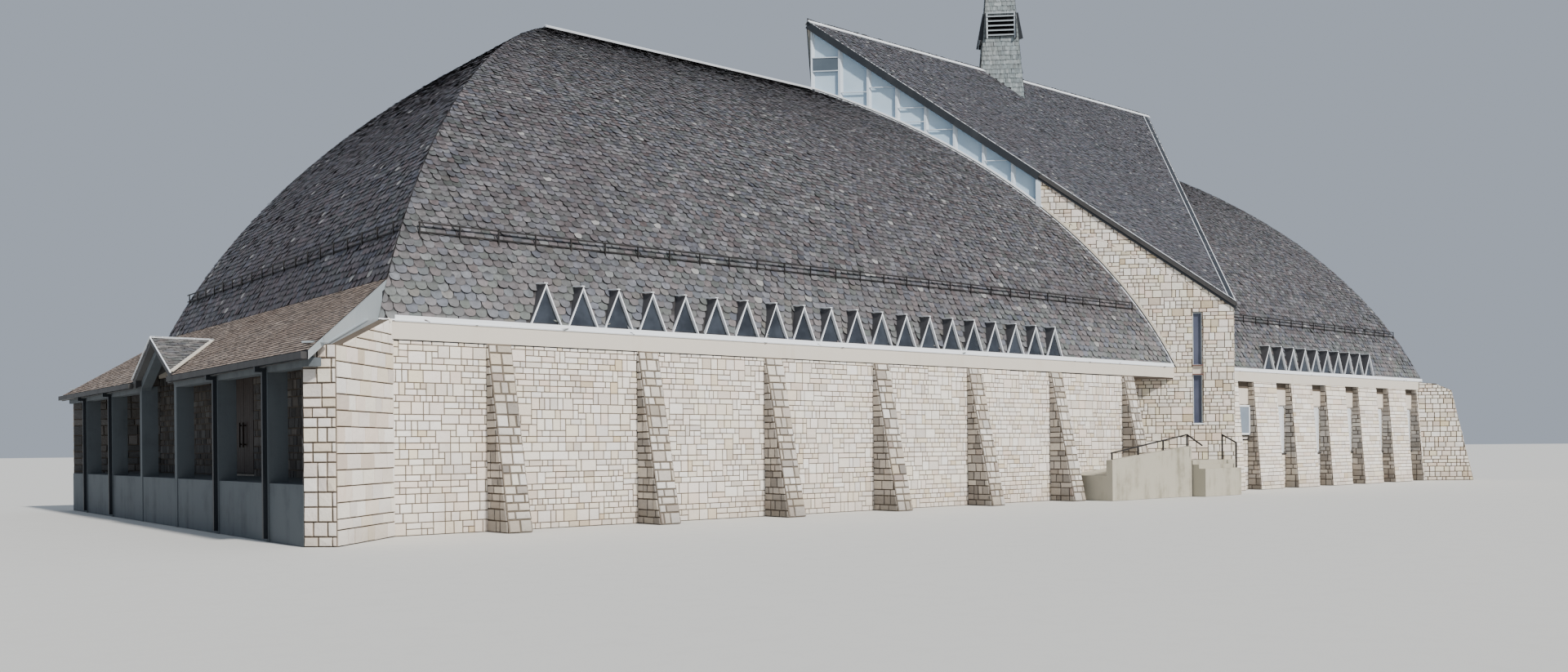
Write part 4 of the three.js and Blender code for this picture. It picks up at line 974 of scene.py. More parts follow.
@dataclass
class Roofs:
    """The slated surfaces of the vault and the crossing roof, and the caps of the dormers."""

    dormer_rows: tuple[tuple[float, float, int], ...] = ((4.2, 1.036, 20), (38.13, 0.995, 10))
    dormer_half: float = 0.435
    dormer_sill: float = 4.93
    dormer_rise: float = 1.02
    cap_depth: float = 0.42
    cap_lift: float = 0.012
    cap: Pair = (0.1, 0.025)
    clearance: float = 0.03
    spire_reach: float = 1.15

    def in_dormer(self, middles: np.ndarray) -> np.ndarray:
        """Says which middles of slates lie in the front of a dormer.

        Args:
            middles: The middles.

        Returns:
            True for each of them that does.
        """
        inside = np.zeros(len(middles), dtype=bool)
        half = self.dormer_half * (1 - (middles[:, 2] - self.dormer_sill) / self.dormer_rise)
        for first, pitch, count in self.dormer_rows:
            for centre in first + pitch * np.arange(count):
                inside |= np.abs(middles[:, 0] - centre) < half - 0.02
        return inside

    def sides(self) -> dict[str, VaultSide]:
        """The sides of the vault by name."""
        half, length, gap = SITE.half_width, SITE.length, self.clearance
        near = SITE.crossing - SITE.crossing_wall + half
        far = SITE.crossing + SITE.crossing_wall - half
        return {
            "nave_south": VaultSide((0.0, -half, 0.0), EAST, NORTH, lambda d: (d, near - d - gap)),
            "nave_north": VaultSide((0.0, half, 0.0), WEST, SOUTH, lambda d: (gap - near + d, -d)),
            "choir_south": VaultSide((0.0, -half, 0.0), EAST, NORTH, lambda d: (far + d + gap, length - d)),
            "choir_north": VaultSide((0.0, half, 0.0), WEST, SOUTH, lambda d: (d - length, -far - d - gap)),
            "west": VaultSide((0.0, 0.0, 0.0), SOUTH, EAST, lambda d: (d - half, half - d)),
            "east": VaultSide((length, 0.0, 0.0), NORTH, WEST, lambda d: (d - half, half - d)),
        }

    def slate_vault(self) -> None:
        """Slates the six sides of the vault."""
        for number, (name, side) in enumerate(self.sides().items()):
            choice = Palette.WEST_SLATE if name == "west" else Palette.VAULT_SLATE
            Slating.join(f"{name}_slates", [Slating(seed=11 + number).lay(side, self.in_dormer)], choice)

    def slate_crossing(self) -> None:
        """Slates both slopes of the crossing roof."""
        reach, rise = SITE.crossing_reach, SITE.crossing_ridge - SITE.crossing_corner
        length = math.hypot(reach, rise)
        level, steep = reach / length, rise / length
        for number, (side, name) in enumerate(SIDES):
            slope = Slope(
                (SITE.crossing, side * reach, SITE.crossing_corner), (-side, 0.0, 0.0),
                (0.0, -side * level, steep), length, lambda up: (-level * up, level * up),
            )
            laid = Slating(0.175, 0.155, 0.125, 0.11, seed=31 + number).lay(slope, self.in_spire)
            Slating.join(f"crossing_{name}_slates", [laid], Palette.CROSSING_SLATE)

    def in_spire(self, middles: np.ndarray) -> np.ndarray:
        """Says which middles of slates lie under the foot of the spire."""
        return np.abs(middles[:, 0] - SITE.crossing) + np.abs(middles[:, 1]) < self.spire_reach

    def dormer_caps(self, side: float, name: str) -> None:
        """Metal caps over the dormers of one side."""
        caps = []
        top = self.dormer_sill + self.dormer_rise + self.cap_lift
        for first, pitch, count in self.dormer_rows:
            front = (first, side * (SITE.half_width + 0.01), top)
            back = (first, side * (SITE.half_width - self.cap_depth), top + 0.03)
            caps.append(BENCH.row(BENCH.bar(front, back, *self.cap), count, (pitch, 0.0, 0.0)))
        BENCH.gather(f"dormer_caps_{name}", caps, Palette.WHITE, "white_metal")

    def build(self) -> None:
        """Slates every roof."""
        self.slate_vault()
        self.slate_crossing()
        for side, name in SIDES:
            self.dormer_caps(side, name)


@dataclass
class Porch:
    """The lean-to porch: its slates, the metalwork of its gable and the copings of its wing walls."""

    eave: float = -2.35
    eave_height: float = 3.9
    fall: float = 0.7
    side: float = 9.77
    roof_top: float = 0.4
    gable_half: float = 2.03
    gable_foot: float = 3.98
    gable_peak: float = 5.02
    wing_top_in: float = 4.84
    wing_top_out: float = 4.08
    wing_length: float = 2.45
    wing_tip: float = 2.62
    wing_middle: float = 9.58
    coping_start: float = 0.5
    coping_width: float = 0.34
    tip_gap: float = 0.3
    tip_width: float = 0.5
    metal: float = 0.04
    edge: Pair = (0.03, 0.03)
    valley: Pair = (0.12, 0.03)
    gutter_foot: float = 3.75

    @property
    def gable_back(self) -> float:
        """Where the ridge of the gable meets the lean-to."""
        return self.eave + (self.gable_peak - self.eave_height) / self.fall

    def in_gable(self, middles: np.ndarray) -> np.ndarray:
        """Says which middles of slates lie under the gable."""
        reach = (self.gable_back - middles[:, 0]) / (self.gable_back - self.eave)
        return np.abs(middles[:, 1]) < self.gable_half * reach

    def slates(self) -> None:
        """Slates the lean-to and both slopes of its gable."""
        level = 1.0 / math.hypot(1.0, self.fall)
        end = self.side - self.eave
        slope = Slope(
            (self.eave, 0.0, self.eave_height), (0.0, -1.0, 0.0), (level, 0.0, self.fall * level),
            (self.roof_top - self.eave) / level, lambda up: (level * up - end, end - level * up),
        )
        flat = {"roundness": 0.12, "lift": 0.02, "wander": 0.004, "tilt": 0.25}
        laid = Slating(0.22, 0.22, 0.11, 0.11, seed=51, **flat).lay(slope, self.in_gable)
        Slating.join("porch_slates", [laid], Palette.PORCH_SLATE)
        rise = self.gable_peak - self.gable_foot
        run = math.hypot(self.gable_half, rise)
        steep = (self.gable_back - self.eave) / run
        spans: tuple[Span, Span] = (lambda up: (0.0 * up, steep * up), lambda up: (-steep * up, 0.0 * up))
        for (side, name), span in zip(SIDES, spans):
            slope = Slope(
                (self.eave, side * self.gable_half, self.gable_foot), (-side, 0.0, 0.0),
                (0.0, -side * self.gable_half / run, rise / run), run, span,
            )
            laid = Slating(0.2, 0.2, 0.11, 0.11, seed=53, **flat).lay(slope)
            Slating.join(f"gable_{name}_slates", [laid], Palette.GABLE_SLATE)

    def metalwork(self) -> None:
        """Ridge, valleys and edges of the gable."""
        front = self.eave - 0.02
        back = (self.gable_back, 0.0, self.gable_peak + 0.03)
        fall = (self.gable_peak - self.gable_foot) / self.gable_half
        edges = [BENCH.cap((front, 0.0, self.gable_peak + 0.03), back, 0.06, fall)]
        valleys = []
        for side, _ in SIDES:
            foot = (front, side * (self.gable_half + 0.03), self.gable_foot)
            edges.append(BENCH.bar((front, 0.0, self.gable_peak + 0.02), foot, *self.edge))
            foot = (self.eave, side * self.gable_half, self.gable_foot + 0.03)
            valleys.append(BENCH.bar(foot, back, *self.valley))
        BENCH.gather("gable_edges", edges, Palette.WHITE, "white_metal")
        BENCH.gather("gable_valleys", valleys, Palette.VALLEY, "white_metal")

    def coping(self, side: float, name: str) -> None:
        """Sloping metal coping over one wing wall."""
        def along(distance: float, height: float) -> Point:
            """A place on the wing wall at a distance from its root."""
            x = self.wing_middle - SITE.wall_face - distance * DIAGONAL
            return (x, side * (SITE.wall_face + distance * DIAGONAL), height)

        top = self.wing_top_out + 0.03
        root, bend = along(self.coping_start, self.wing_top_in - 0.05), along(self.wing_length, top)
        start, tip = along(self.wing_length + self.tip_gap, top), along(self.wing_tip, top)
        parts = [
            BENCH.bar(root, bend, self.coping_width, self.metal),
            BENCH.bar(start, tip, self.tip_width, self.metal),
        ]
        BENCH.gather(f"{name}_wing_coping", parts, Palette.ZINC, "white_metal")

    def build(self) -> None:
        """Builds the porch's pieces."""
        self.slates()
        self.metalwork()
        for side, name in SIDES:
            self.coping(side, name)


@dataclass
class Spire:
    """The spire: its slates and its louvre frames."""

    base: float = 16.4
    base_reach: float = 1.5
    top: float = 29.0
    top_reach: float = 0.09
    louvre_bottom: float = 19.98
    louvre_top: float = 21.05
    louvre_half: float = 0.64
    louvre_proud: float = 0.06
    cheek: Pair = (0.3, 0.04)
    upright: Pair = (0.04, 0.07)
    head: Pair = (0.18, 0.05)
    louvre_skirt: float = 0.08
    louvre_core: float = 0.75

    def reach(self, height: np.ndarray | float) -> np.ndarray | float:
        """Distance from the axis to a face at a height."""
        share = (height - self.base) / (self.top - self.base)
        return (self.base_reach + (self.top_reach - self.base_reach) * share) * DIAGONAL

    @staticmethod
    def directions() -> list[Arrays]:
        """Outward and sideways directions of the four faces."""
        angles = [math.pi * (0.25 + 0.5 * number) for number in range(4)]
        outs = [np.array([math.cos(angle), math.sin(angle), 0.0]) for angle in angles]
        return [(out, np.cross(UP, out)) for out in outs]

    def slates(self) -> None:
        """Slates the four faces."""
        run = (self.base_reach - self.top_reach) * DIAGONAL
        rise = self.top - self.base
        length = math.hypot(run, rise)
        laid = []
        for number, (out, along) in enumerate(self.directions()):
            corner = np.array([SITE.crossing, 0.0, self.base]) + out * self.base_reach * DIAGONAL
            upwards = (np.array([0.0, 0.0, rise]) - out * run) / length

            def span(up: np.ndarray) -> Arrays:
                """Both ends of a course of a tapering face."""
                half = self.reach(self.base + up * rise / length)
                return -half, half

            def skip(middles: np.ndarray) -> np.ndarray:
                """Says which middles lie in the louvres or below the roof."""
                height = middles[:, 2]
                beside = np.abs((middles - corner) @ along) >= self.louvre_half
                above, below = height >= self.louvre_top, height <= self.louvre_bottom + self.louvre_skirt
                roof = SITE.crossing_ridge - SITE.crossing_slope * np.abs(middles[:, 1])
                return ~(beside | above | below) | (height < roof - 0.05)

            slope = Slope(tuple(corner), tuple(along), tuple(upwards), length, span)
            size = {"roundness": 0.08, "lift": 0.018, "wander": 0.006}
            laid.append(Slating(0.13, 0.1, 0.22, 0.19, seed=61 + number, **size).lay(slope, skip))
        Slating.join("spire_slates", laid, Palette.SPIRE_SLATE)

    def louvres(self) -> None:
        """Dark cheeks and pale heads round the louvres."""
        cheeks, heads = [], []
        proud = self.louvre_proud
        ends = ((self.louvre_bottom - 0.06, proud), (self.louvre_top + 0.03, -proud))
        for out, along in self.directions():
            low, high = (
                np.array([SITE.crossing, 0.0, height]) + out * (float(self.reach(height)) + lean)
                for height, lean in ends
            )
            for side, _ in SIDES:
                shift = along * side * (self.louvre_half + 0.02)
                cheeks.append(BENCH.bar(low + shift, high + shift, *self.cheek, along))
                edge = along * side * (self.louvre_half - 0.03) + out * proud
                heads.append(BENCH.bar(low + edge, high + edge + out * proud, *self.upright, along))
            top, reach = high + out * proud, along * self.louvre_half
            heads.append(BENCH.bar(top - reach, top + reach, *self.head))
        BENCH.gather("spire_louvre_cheeks", cheeks, Palette.NAVY, "dark_metal")
        BENCH.gather("spire_louvre_heads", heads, Palette.ZINC, "white_metal")

    def build(self) -> None:
        """Builds the spire's pieces."""
        self.slates()
        self.louvres()


@dataclass
class Trims:
    """Metal and mortar lines on the ridges, rakes, verges and beams, with dark strips of painted shadow among
    them.
    """

    edge: Pair = (0.035, 0.025)
    lip: Pair = (0.03, 0.03)
    flashing: Pair = (0.04, 0.035)
    joint: Pair = (0.03, 0.02)
    fascia_out: float = 0.015
    # Size of the dark strip under the beams, painted shadow.
    fascia_thickness: float = 0.03
    nave_leg: float = 0.13
    nave_thickness: float = 0.06
    leg: float = 0.15
    thickness: float = 0.035
    spire_gap: float = 0.95
    glazed_share: float = 0.547
    fascia_depth: float = 0.27
    lower_fascia: float = 0.14
    gutter: float = 0.3
    verge_steps: int = 28
    beam_runs: tuple[Pair, ...] = ((0.0, 31.07), (34.28, 52.6))

    def ridges(self) -> None:
        """Caps along the ridges of nave, choir and crossing."""
        top = float(SITE.vault_height(SITE.half_width)) + 0.05
        start, end = SITE.half_width - 0.1, SITE.crossing - SITE.crossing_wall
        fall = 1.0 / math.tan(SITE.ridge_angle)
        cap = BENCH.cap((start, 0.0, top), (end, 0.0, top), self.nave_leg, fall, self.nave_thickness)
        BENCH.gather("nave_ridge_cap", [cap], Palette.WHITE, "white_metal")
        top, reach = SITE.crossing_ridge + 0.04, SITE.crossing_reach
        caps = []
        for pair in ((-reach, -self.spire_gap), (self.spire_gap, reach)):
            ends = [(SITE.crossing + along, 0.0, top) for along in pair]
            caps.append(BENCH.cap(*ends, self.leg, SITE.crossing_slope, self.thickness))
        BENCH.gather("crossing_ridge_cap", caps, Palette.WHITE, "white_metal")

    @staticmethod
    def on_rake(east: float, north: float, share: float, inwards: float = 0.0, lift: float = 0.0) -> Point:
        """A place beside a rake of the crossing roof.

        Args:
            east: 1.0 for an eastern rake, -1.0 for a western one.
            north: 1.0 for a northern rake, -1.0 for a southern one.
            share: Part of the way from the prow to the corner.
            inwards: Level distance from the rake towards the middle of the roof.
            lift: Height above the roof.

        Returns:
            The place in metres of the real building.
        """
        across = SITE.crossing_reach * share - inwards * DIAGONAL
        along = SITE.crossing_reach * (1.0 - share) - inwards * DIAGONAL
        return (SITE.crossing + east * along, north * across, SITE.roof_height(across) + lift)

    def rake_bar(
        self, rake: Pair, shares: Pair, inwards: float, lift: float, *size: float, sloping: bool = False,
    ) -> Piece:
        """A bar along a stretch of a rake, upright or lying on the roof's slope."""
        ends = [self.on_rake(*rake, share, inwards, lift) for share in shares]
        return BENCH.bar(*ends, *size, (0.0, rake[1] * SITE.crossing_slope, 1.0) if sloping else UP, 0.004)

    def rakes(self) -> None:
        """Metal edges and fascias on the four rakes of the crossing roof, and painted shade in the gutters of
        the eastern ones.
        """
        edges, strips, dark, grey = [], [], [], []
        fascias = (
            (dark, (0.0, self.glazed_share), self.fascia_depth),
            (grey, (self.glazed_share, 1.0), self.lower_fascia),
        )
        for rake in RAKES:
            edges.append(self.rake_bar(rake, (0.0, 1.0), 0.02, 0.035, *self.edge, sloping=True))
            if rake[0] > 0:
                edges.append(self.rake_bar(rake, (0.02, 1.0), self.gutter, 0.04, *self.lip, sloping=True))
                # A dark strip lying in the gutter, painted shade.
                middle = (self.gutter / 2, 0.03, self.gutter - 0.05, 0.012)
                strips.append(self.rake_bar(rake, (0.01, 1.0), *middle, sloping=True))
            for bars, shares, depth in fascias:
                drop = -depth / 2 - 0.01
                bars.append(self.rake_bar(rake, shares, -self.fascia_out, drop, self.fascia_thickness, depth))
        BENCH.gather("crossing_rake_edges", edges, Palette.WHITE, "white_metal")
        BENCH.gather("crossing_rake_gutter_shade", strips, Palette.NAVY, "dark_metal")
        BENCH.gather("crossing_fascias", dark, Palette.NAVY, "dark_metal")
        BENCH.gather("crossing_lower_fascias", grey, Palette.FASCIA, "dark_metal")

    def verge(
        self, east: float, north: float, angles: Pair, radial: Pair, out: float,
    ) -> Piece:
        """A strip along the curve where the vault meets a crossing wall.

        Args:
            east: 1.0 for the choir's side of the crossing, -1.0 for the nave's.
            north: 1.0 for the north side, -1.0 for the south side.
            angles: Where the strip begins and ends round the arc.
            radial: Where the strip begins and ends above the vault.
            out: How far it stands out from the wall.

        Returns:
            The strip, with its place in its mesh.
        """
        start, end = angles
        centre = Vector((0.0, SITE.centre_inward - SITE.half_width, SITE.centre_height)) * SITE.scale
        outward = Vector((0.0, -math.cos(start), math.sin(start)))
        across = Vector(EAST)
        BENCH.clear()
        bpy.ops.mesh.primitive_plane_add(size=1.0)
        piece = bpy.context.object
        section = Matrix((across, outward, across.cross(outward))).transposed().to_4x4()
        size = Matrix.Diagonal((out / DIAGONAL * SITE.scale, (radial[1] - radial[0]) * SITE.scale, 1.0, 1.0))
        radius = (SITE.radius + sum(radial) / 2) * SITE.scale
        BENCH.settle(piece, Matrix.Translation(centre + outward * radius) @ section @ size)
        bpy.ops.object.mode_set(mode="EDIT")
        bpy.ops.mesh.select_all(action="SELECT")
        bpy.ops.mesh.spin(
            steps=self.verge_steps, angle=end - start, center=centre, axis=across, use_auto_merge=False,
        )
        bpy.ops.mesh.select_all(action="SELECT")
        bpy.ops.mesh.remove_doubles(threshold=1e-5)
        bpy.ops.mesh.normals_make_consistent(inside=False)
        bpy.ops.object.mode_set(mode="OBJECT")
        slant = Matrix.Identity(4)
        slant[0][1] = east
        slant[0][3] = SITE.at((SITE.crossing + east * (SITE.crossing_wall + out / DIAGONAL / 2), 0.0, 0.0)).x
        piece.data.transform(slant)
        if north > 0:
            piece.data.transform(Matrix.Diagonal((1.0, -1.0, 1.0, 1.0)))
            piece.data.flip_normals()
        return piece

    def verges(self) -> None:
        """White and mortar strips on all four curves, with a dark strip of painted shadow between them."""
        foot, ridge = SITE.arc_angle(SITE.beam_top), SITE.ridge_angle
        jamb = math.acos((SITE.centre_inward - SITE.half_width + SITE.glazed_end) / SITE.radius)
        layers = (
            ("vault_verges", (foot, ridge), (0.0, 0.035), 0.04, Palette.WHITE, "white_metal"),
            # A dark strip of painted shadow between the white verge and the strip above it.
            ("vault_verge_shadows", (foot, ridge), (0.035, 0.065), 0.03, Palette.NAVY, "dark_metal"),
            ("vault_verge_mortar", (foot, jamb), (0.065, 0.13), 0.02, Palette.FILLET, "stone"),
            ("vault_verge_sills", (jamb, ridge), (0.065, 0.12), 0.02, Palette.WHITE, "white_metal"),
        )
        for name, angles, radial, out, choice, slot in layers:
            strips = [self.verge(*rake, angles, radial, out) for rake in RAKES]
            BENCH.gather(name, strips, choice, slot)

    def beams(self) -> None:
        """A pale flashing over the ring beam and a dark strip under it, painted shadow of the beam."""
        over, under = [], []
        face, wall = SITE.half_width + 0.015, SITE.wall_face + 0.01
        top, bottom = SITE.beam_top + 0.03, SITE.beam_bottom - 0.014
        for side, _ in SIDES:
            for start, end in self.beam_runs:
                over.append(BENCH.bar((start, side * face, top), (end, side * face, top), *self.flashing))
                ends = [(x, side * wall, bottom) for x in (start, end)]
                under.append(BENCH.bar(*ends, *self.joint))
        east = SITE.length + 0.015
        over.append(BENCH.bar((east, -face, top), (east, face, top), *self.flashing))
        BENCH.gather("beam_flashing", over, Palette.WHITE, "white_metal")
        BENCH.gather("beam_shadow_line", under, Palette.NAVY, "dark_metal")

    def build(self) -> None:
        """Builds all trims."""
        self.ridges()
        self.rakes()
        self.verges()
        self.beams()


@dataclass(frozen=True)
class Laying:
    """Sizes of stones on a grid of units, their joints and how far and how evenly they stand."""

    unit: float
    widths: tuple[int, ...]
    heights: tuple[int, ...]
    joint: float
    proud: float
    level: float
    bevel: float = 0.007


class Bond(Enum):
    """Ways of laying stones."""

    NAVE = Laying(0.072, (2, 2, 3, 3, 4, 4, 5, 6), (2, 2, 2, 3, 3, 4), 0.009, 0.014, 0.35, 0.006)
    CROSSING = Laying(0.072, (2, 3, 3, 4, 4, 5, 6), (2, 2, 3, 3, 4), 0.011, 0.017, 0.4, 0.006)
    COURSES = Laying(0.078, (4, 5, 6, 7, 8, 9, 10), (2, 2, 3), 0.009, 0.015, 0.97)
    RUBBLE = Laying(0.09, (2, 3, 3, 4, 5), (2, 2, 3), 0.013, 0.03, 0.5)
    QUOINS = Laying(0.1, (2, 3, 3, 4), (2, 2, 3), 0.013, 0.032, 0.6, 0.014)
    WING = Laying(0.11, (3, 3, 4, 5, 6), (2, 2, 3, 3), 0.01, 0.03, 0.7, 0.01)
    EAST = Laying(0.085, (2, 3, 3, 4, 4, 5), (2, 2, 3, 3), 0.014, 0.024, 0.5, 0.01)


# What counts as the same place, plane or direction, and what is too small to keep, in metres.
SAME_PLACE = 0.0004
SAME_PLANE = 0.002
SAME_WAY = 0.9999
LEAST_FACE = 1e-7
LEAST_OUTLINE = 0.04
LEAST_HOLE = 0.01
LEAST_TURN = 1e-5
NEARLY_PARALLEL = 0.05


@dataclass
class Region:
    """A flat stretch of wall: its own axes, its outlines and its holes, in metres of the real building."""

    origin: np.ndarray
    across: np.ndarray
    upwards: np.ndarray
    normal: np.ndarray
    outlines: list[Loop] = field(default_factory=list)
    holes: list[Loop] = field(default_factory=list)

    @property
    def width(self) -> float:
        """Greatest width of a single outline."""
        return max(box[2] - box[0] for box in map(box_of, self.outlines))


def box_of(loop: Loop) -> tuple[float, float, float, float]:
    """Low u, low v, high u and high v of an outline."""
    places = np.array(loop)
    return (*map(float, places.min(axis=0)), *map(float, places.max(axis=0)))


def area_of(loop: Loop) -> float:
    """Signed area of a closed outline."""
    return 0.5 * sum(a[0] * b[1] - b[0] * a[1] for a, b in zip(loop, loop[1:] + loop[:1]))


def flat_regions(node: Piece) -> list[Region]:
    """Finds the flat upright stretches of a node that show outdoors.

    Args:
        node: A node of the frame.

    Returns:
        The regions, with outlines that turn left round the stone.
    """
    mesh = node.data
    places = np.empty(len(mesh.vertices) * 3)
    mesh.vertices.foreach_get("co", places)
    corners = SITE.real(places.reshape(-1, 3))
    tree = KDTree(len(corners))
    for index, place in enumerate(corners):
        tree.insert(place, index)
    tree.balance()
    number = [min(found[1] for found in tree.find_range(place, SAME_PLACE)) for place in corners]
    planes: list[tuple[np.ndarray, float, list]] = []
    for polygon in mesh.polygons:
        normal = np.array(polygon.normal)
        ids = [number[i] for i in polygon.vertices]
        middle = corners[ids].mean(axis=0)
        hidden = all(SITE.indoors(place + normal * PROBE) for place in (middle, *corners[ids]))
        if abs(normal[2]) > 0.5 or polygon.area < LEAST_FACE or hidden:
            continue
        offset = float(normal @ middle)
        for plane in planes:
            if plane[0] @ normal > SAME_WAY and abs(plane[1] - offset) < SAME_PLANE:
                plane[2].append(ids)
                break
        else:
            planes.append((normal, offset, [ids]))
    return [region for plane in planes if (region := outlined(plane, corners)) is not None]


def outlined(plane: tuple[np.ndarray, float, list], corners: np.ndarray) -> Region | None:
    """Turns the faces of one plane into a region, or nothing if it is tiny.

    Args:
        plane: Normal, offset and faces, as lists of corner numbers.
        corners: Places of the corners.

    Returns:
        The region with its outlines and holes.
    """
    normal, _, faces = plane
    across = np.cross(UP, normal)
    across /= np.linalg.norm(across)
    upwards = np.cross(normal, across)
    edges = {(ids[i], ids[(i + 1) % len(ids)]) for ids in faces for i in range(len(ids))}
    border: dict[int, list[int]] = {}
    for a, b in sorted(edges):
        if (b, a) not in edges:
            border.setdefault(a, []).append(b)
    origin = corners[next(iter(border))]
    region = Region(origin, across, upwards, normal)
    while border:
        start = current = next(iter(border))
        ring: list[int] = []
        while current in border and (current != start or not ring):
            ring.append(current)
            after = border[current].pop()
            if not border[current]:
                del border[current]
            current = after
        steps = [corners[i] - origin for i in ring]
        loop = [(float(step @ across), float(step @ upwards)) for step in steps]
        area = area_of(loop)
        if area > LEAST_OUTLINE:
            region.outlines.append(loop)
        elif area < -LEAST_HOLE:
            region.holes.append(loop)
    return region if region.outlines else None


def clip_to_rect(loop: Loop, low_u: float, low_v: float, high_u: float, high_v: float) -> Loop:
    """The part of an outline inside an upright rectangle.

    Args:
        loop: The outline.
        low_u: Left side.
        low_v: Foot.
        high_u: Right side.
        high_v: Head.

    Returns:
        The clipped outline, empty where nothing is left.
    """
    for axis, limit, sign in ((0, low_u, 1.0), (0, high_u, -1.0), (1, low_v, 1.0), (1, high_v, -1.0)):
        kept: Loop = []
        for first, second in zip(loop, loop[1:] + loop[:1]):
            a, b = sign * (first[axis] - limit), sign * (second[axis] - limit)
            if a >= 0:
                kept.append(first)
            if (a > 0 > b) or (a < 0 < b):
                share = a / (a - b)
                kept.append(tuple(p + share * (q - p) for p, q in zip(first, second)))
        loop = kept
        if len(loop) < 3:
            return []
    return loop


def tidy(loop: Loop, least: float = 0.004, rounds: int = 3) -> Loop:
    """Drops corners that nearly coincide or lie on a straight line, in rounds, as each can leave more.

    Args:
        loop: The outline.
        least: Least distance between corners.
        rounds: How often it looks.

    Returns:
        The outline without them.
    """
    for _ in range(rounds):
        apart = [p for i, p in enumerate(loop) if math.dist(p, loop[i - 1]) > least]
        loop = []
        for before, here, after in zip(apart[-1:] + apart[:-1], apart, apart[1:] + apart[:1]):
            turn = (here[0] - before[0]) * (after[1] - here[1]) - (here[1] - before[1]) * (after[0] - here[0])
            if abs(turn) > LEAST_TURN:
                loop.append(here)
    return loop


def inset(loop: Loop, distance: float) -> Loop:
    """Moves every edge of a left-turning outline inwards.

    Args:
        loop: The outline.
        distance: How far the edges move.

    Returns:
        The smaller outline.
    """
    lines = []
    for a, b in zip(loop, loop[1:] + loop[:1]):
        length = math.dist(a, b)
        direction = ((b[0] - a[0]) / length, (b[1] - a[1]) / length)
        lines.append(((a[0] - direction[1] * distance, a[1] + direction[0] * distance), direction))
    result = []
    for (p, d), (q, e) in zip(lines[-1:] + lines[:-1], lines):
        cross = d[0] * e[1] - d[1] * e[0]
        if abs(cross) < NEARLY_PARALLEL:
            result.append(q)
            continue
        share = ((q[0] - p[0]) * e[1] - (q[1] - p[1]) * e[0]) / cross
        result.append((p[0] + d[0] * share, p[1] + d[1] * share))
    return result


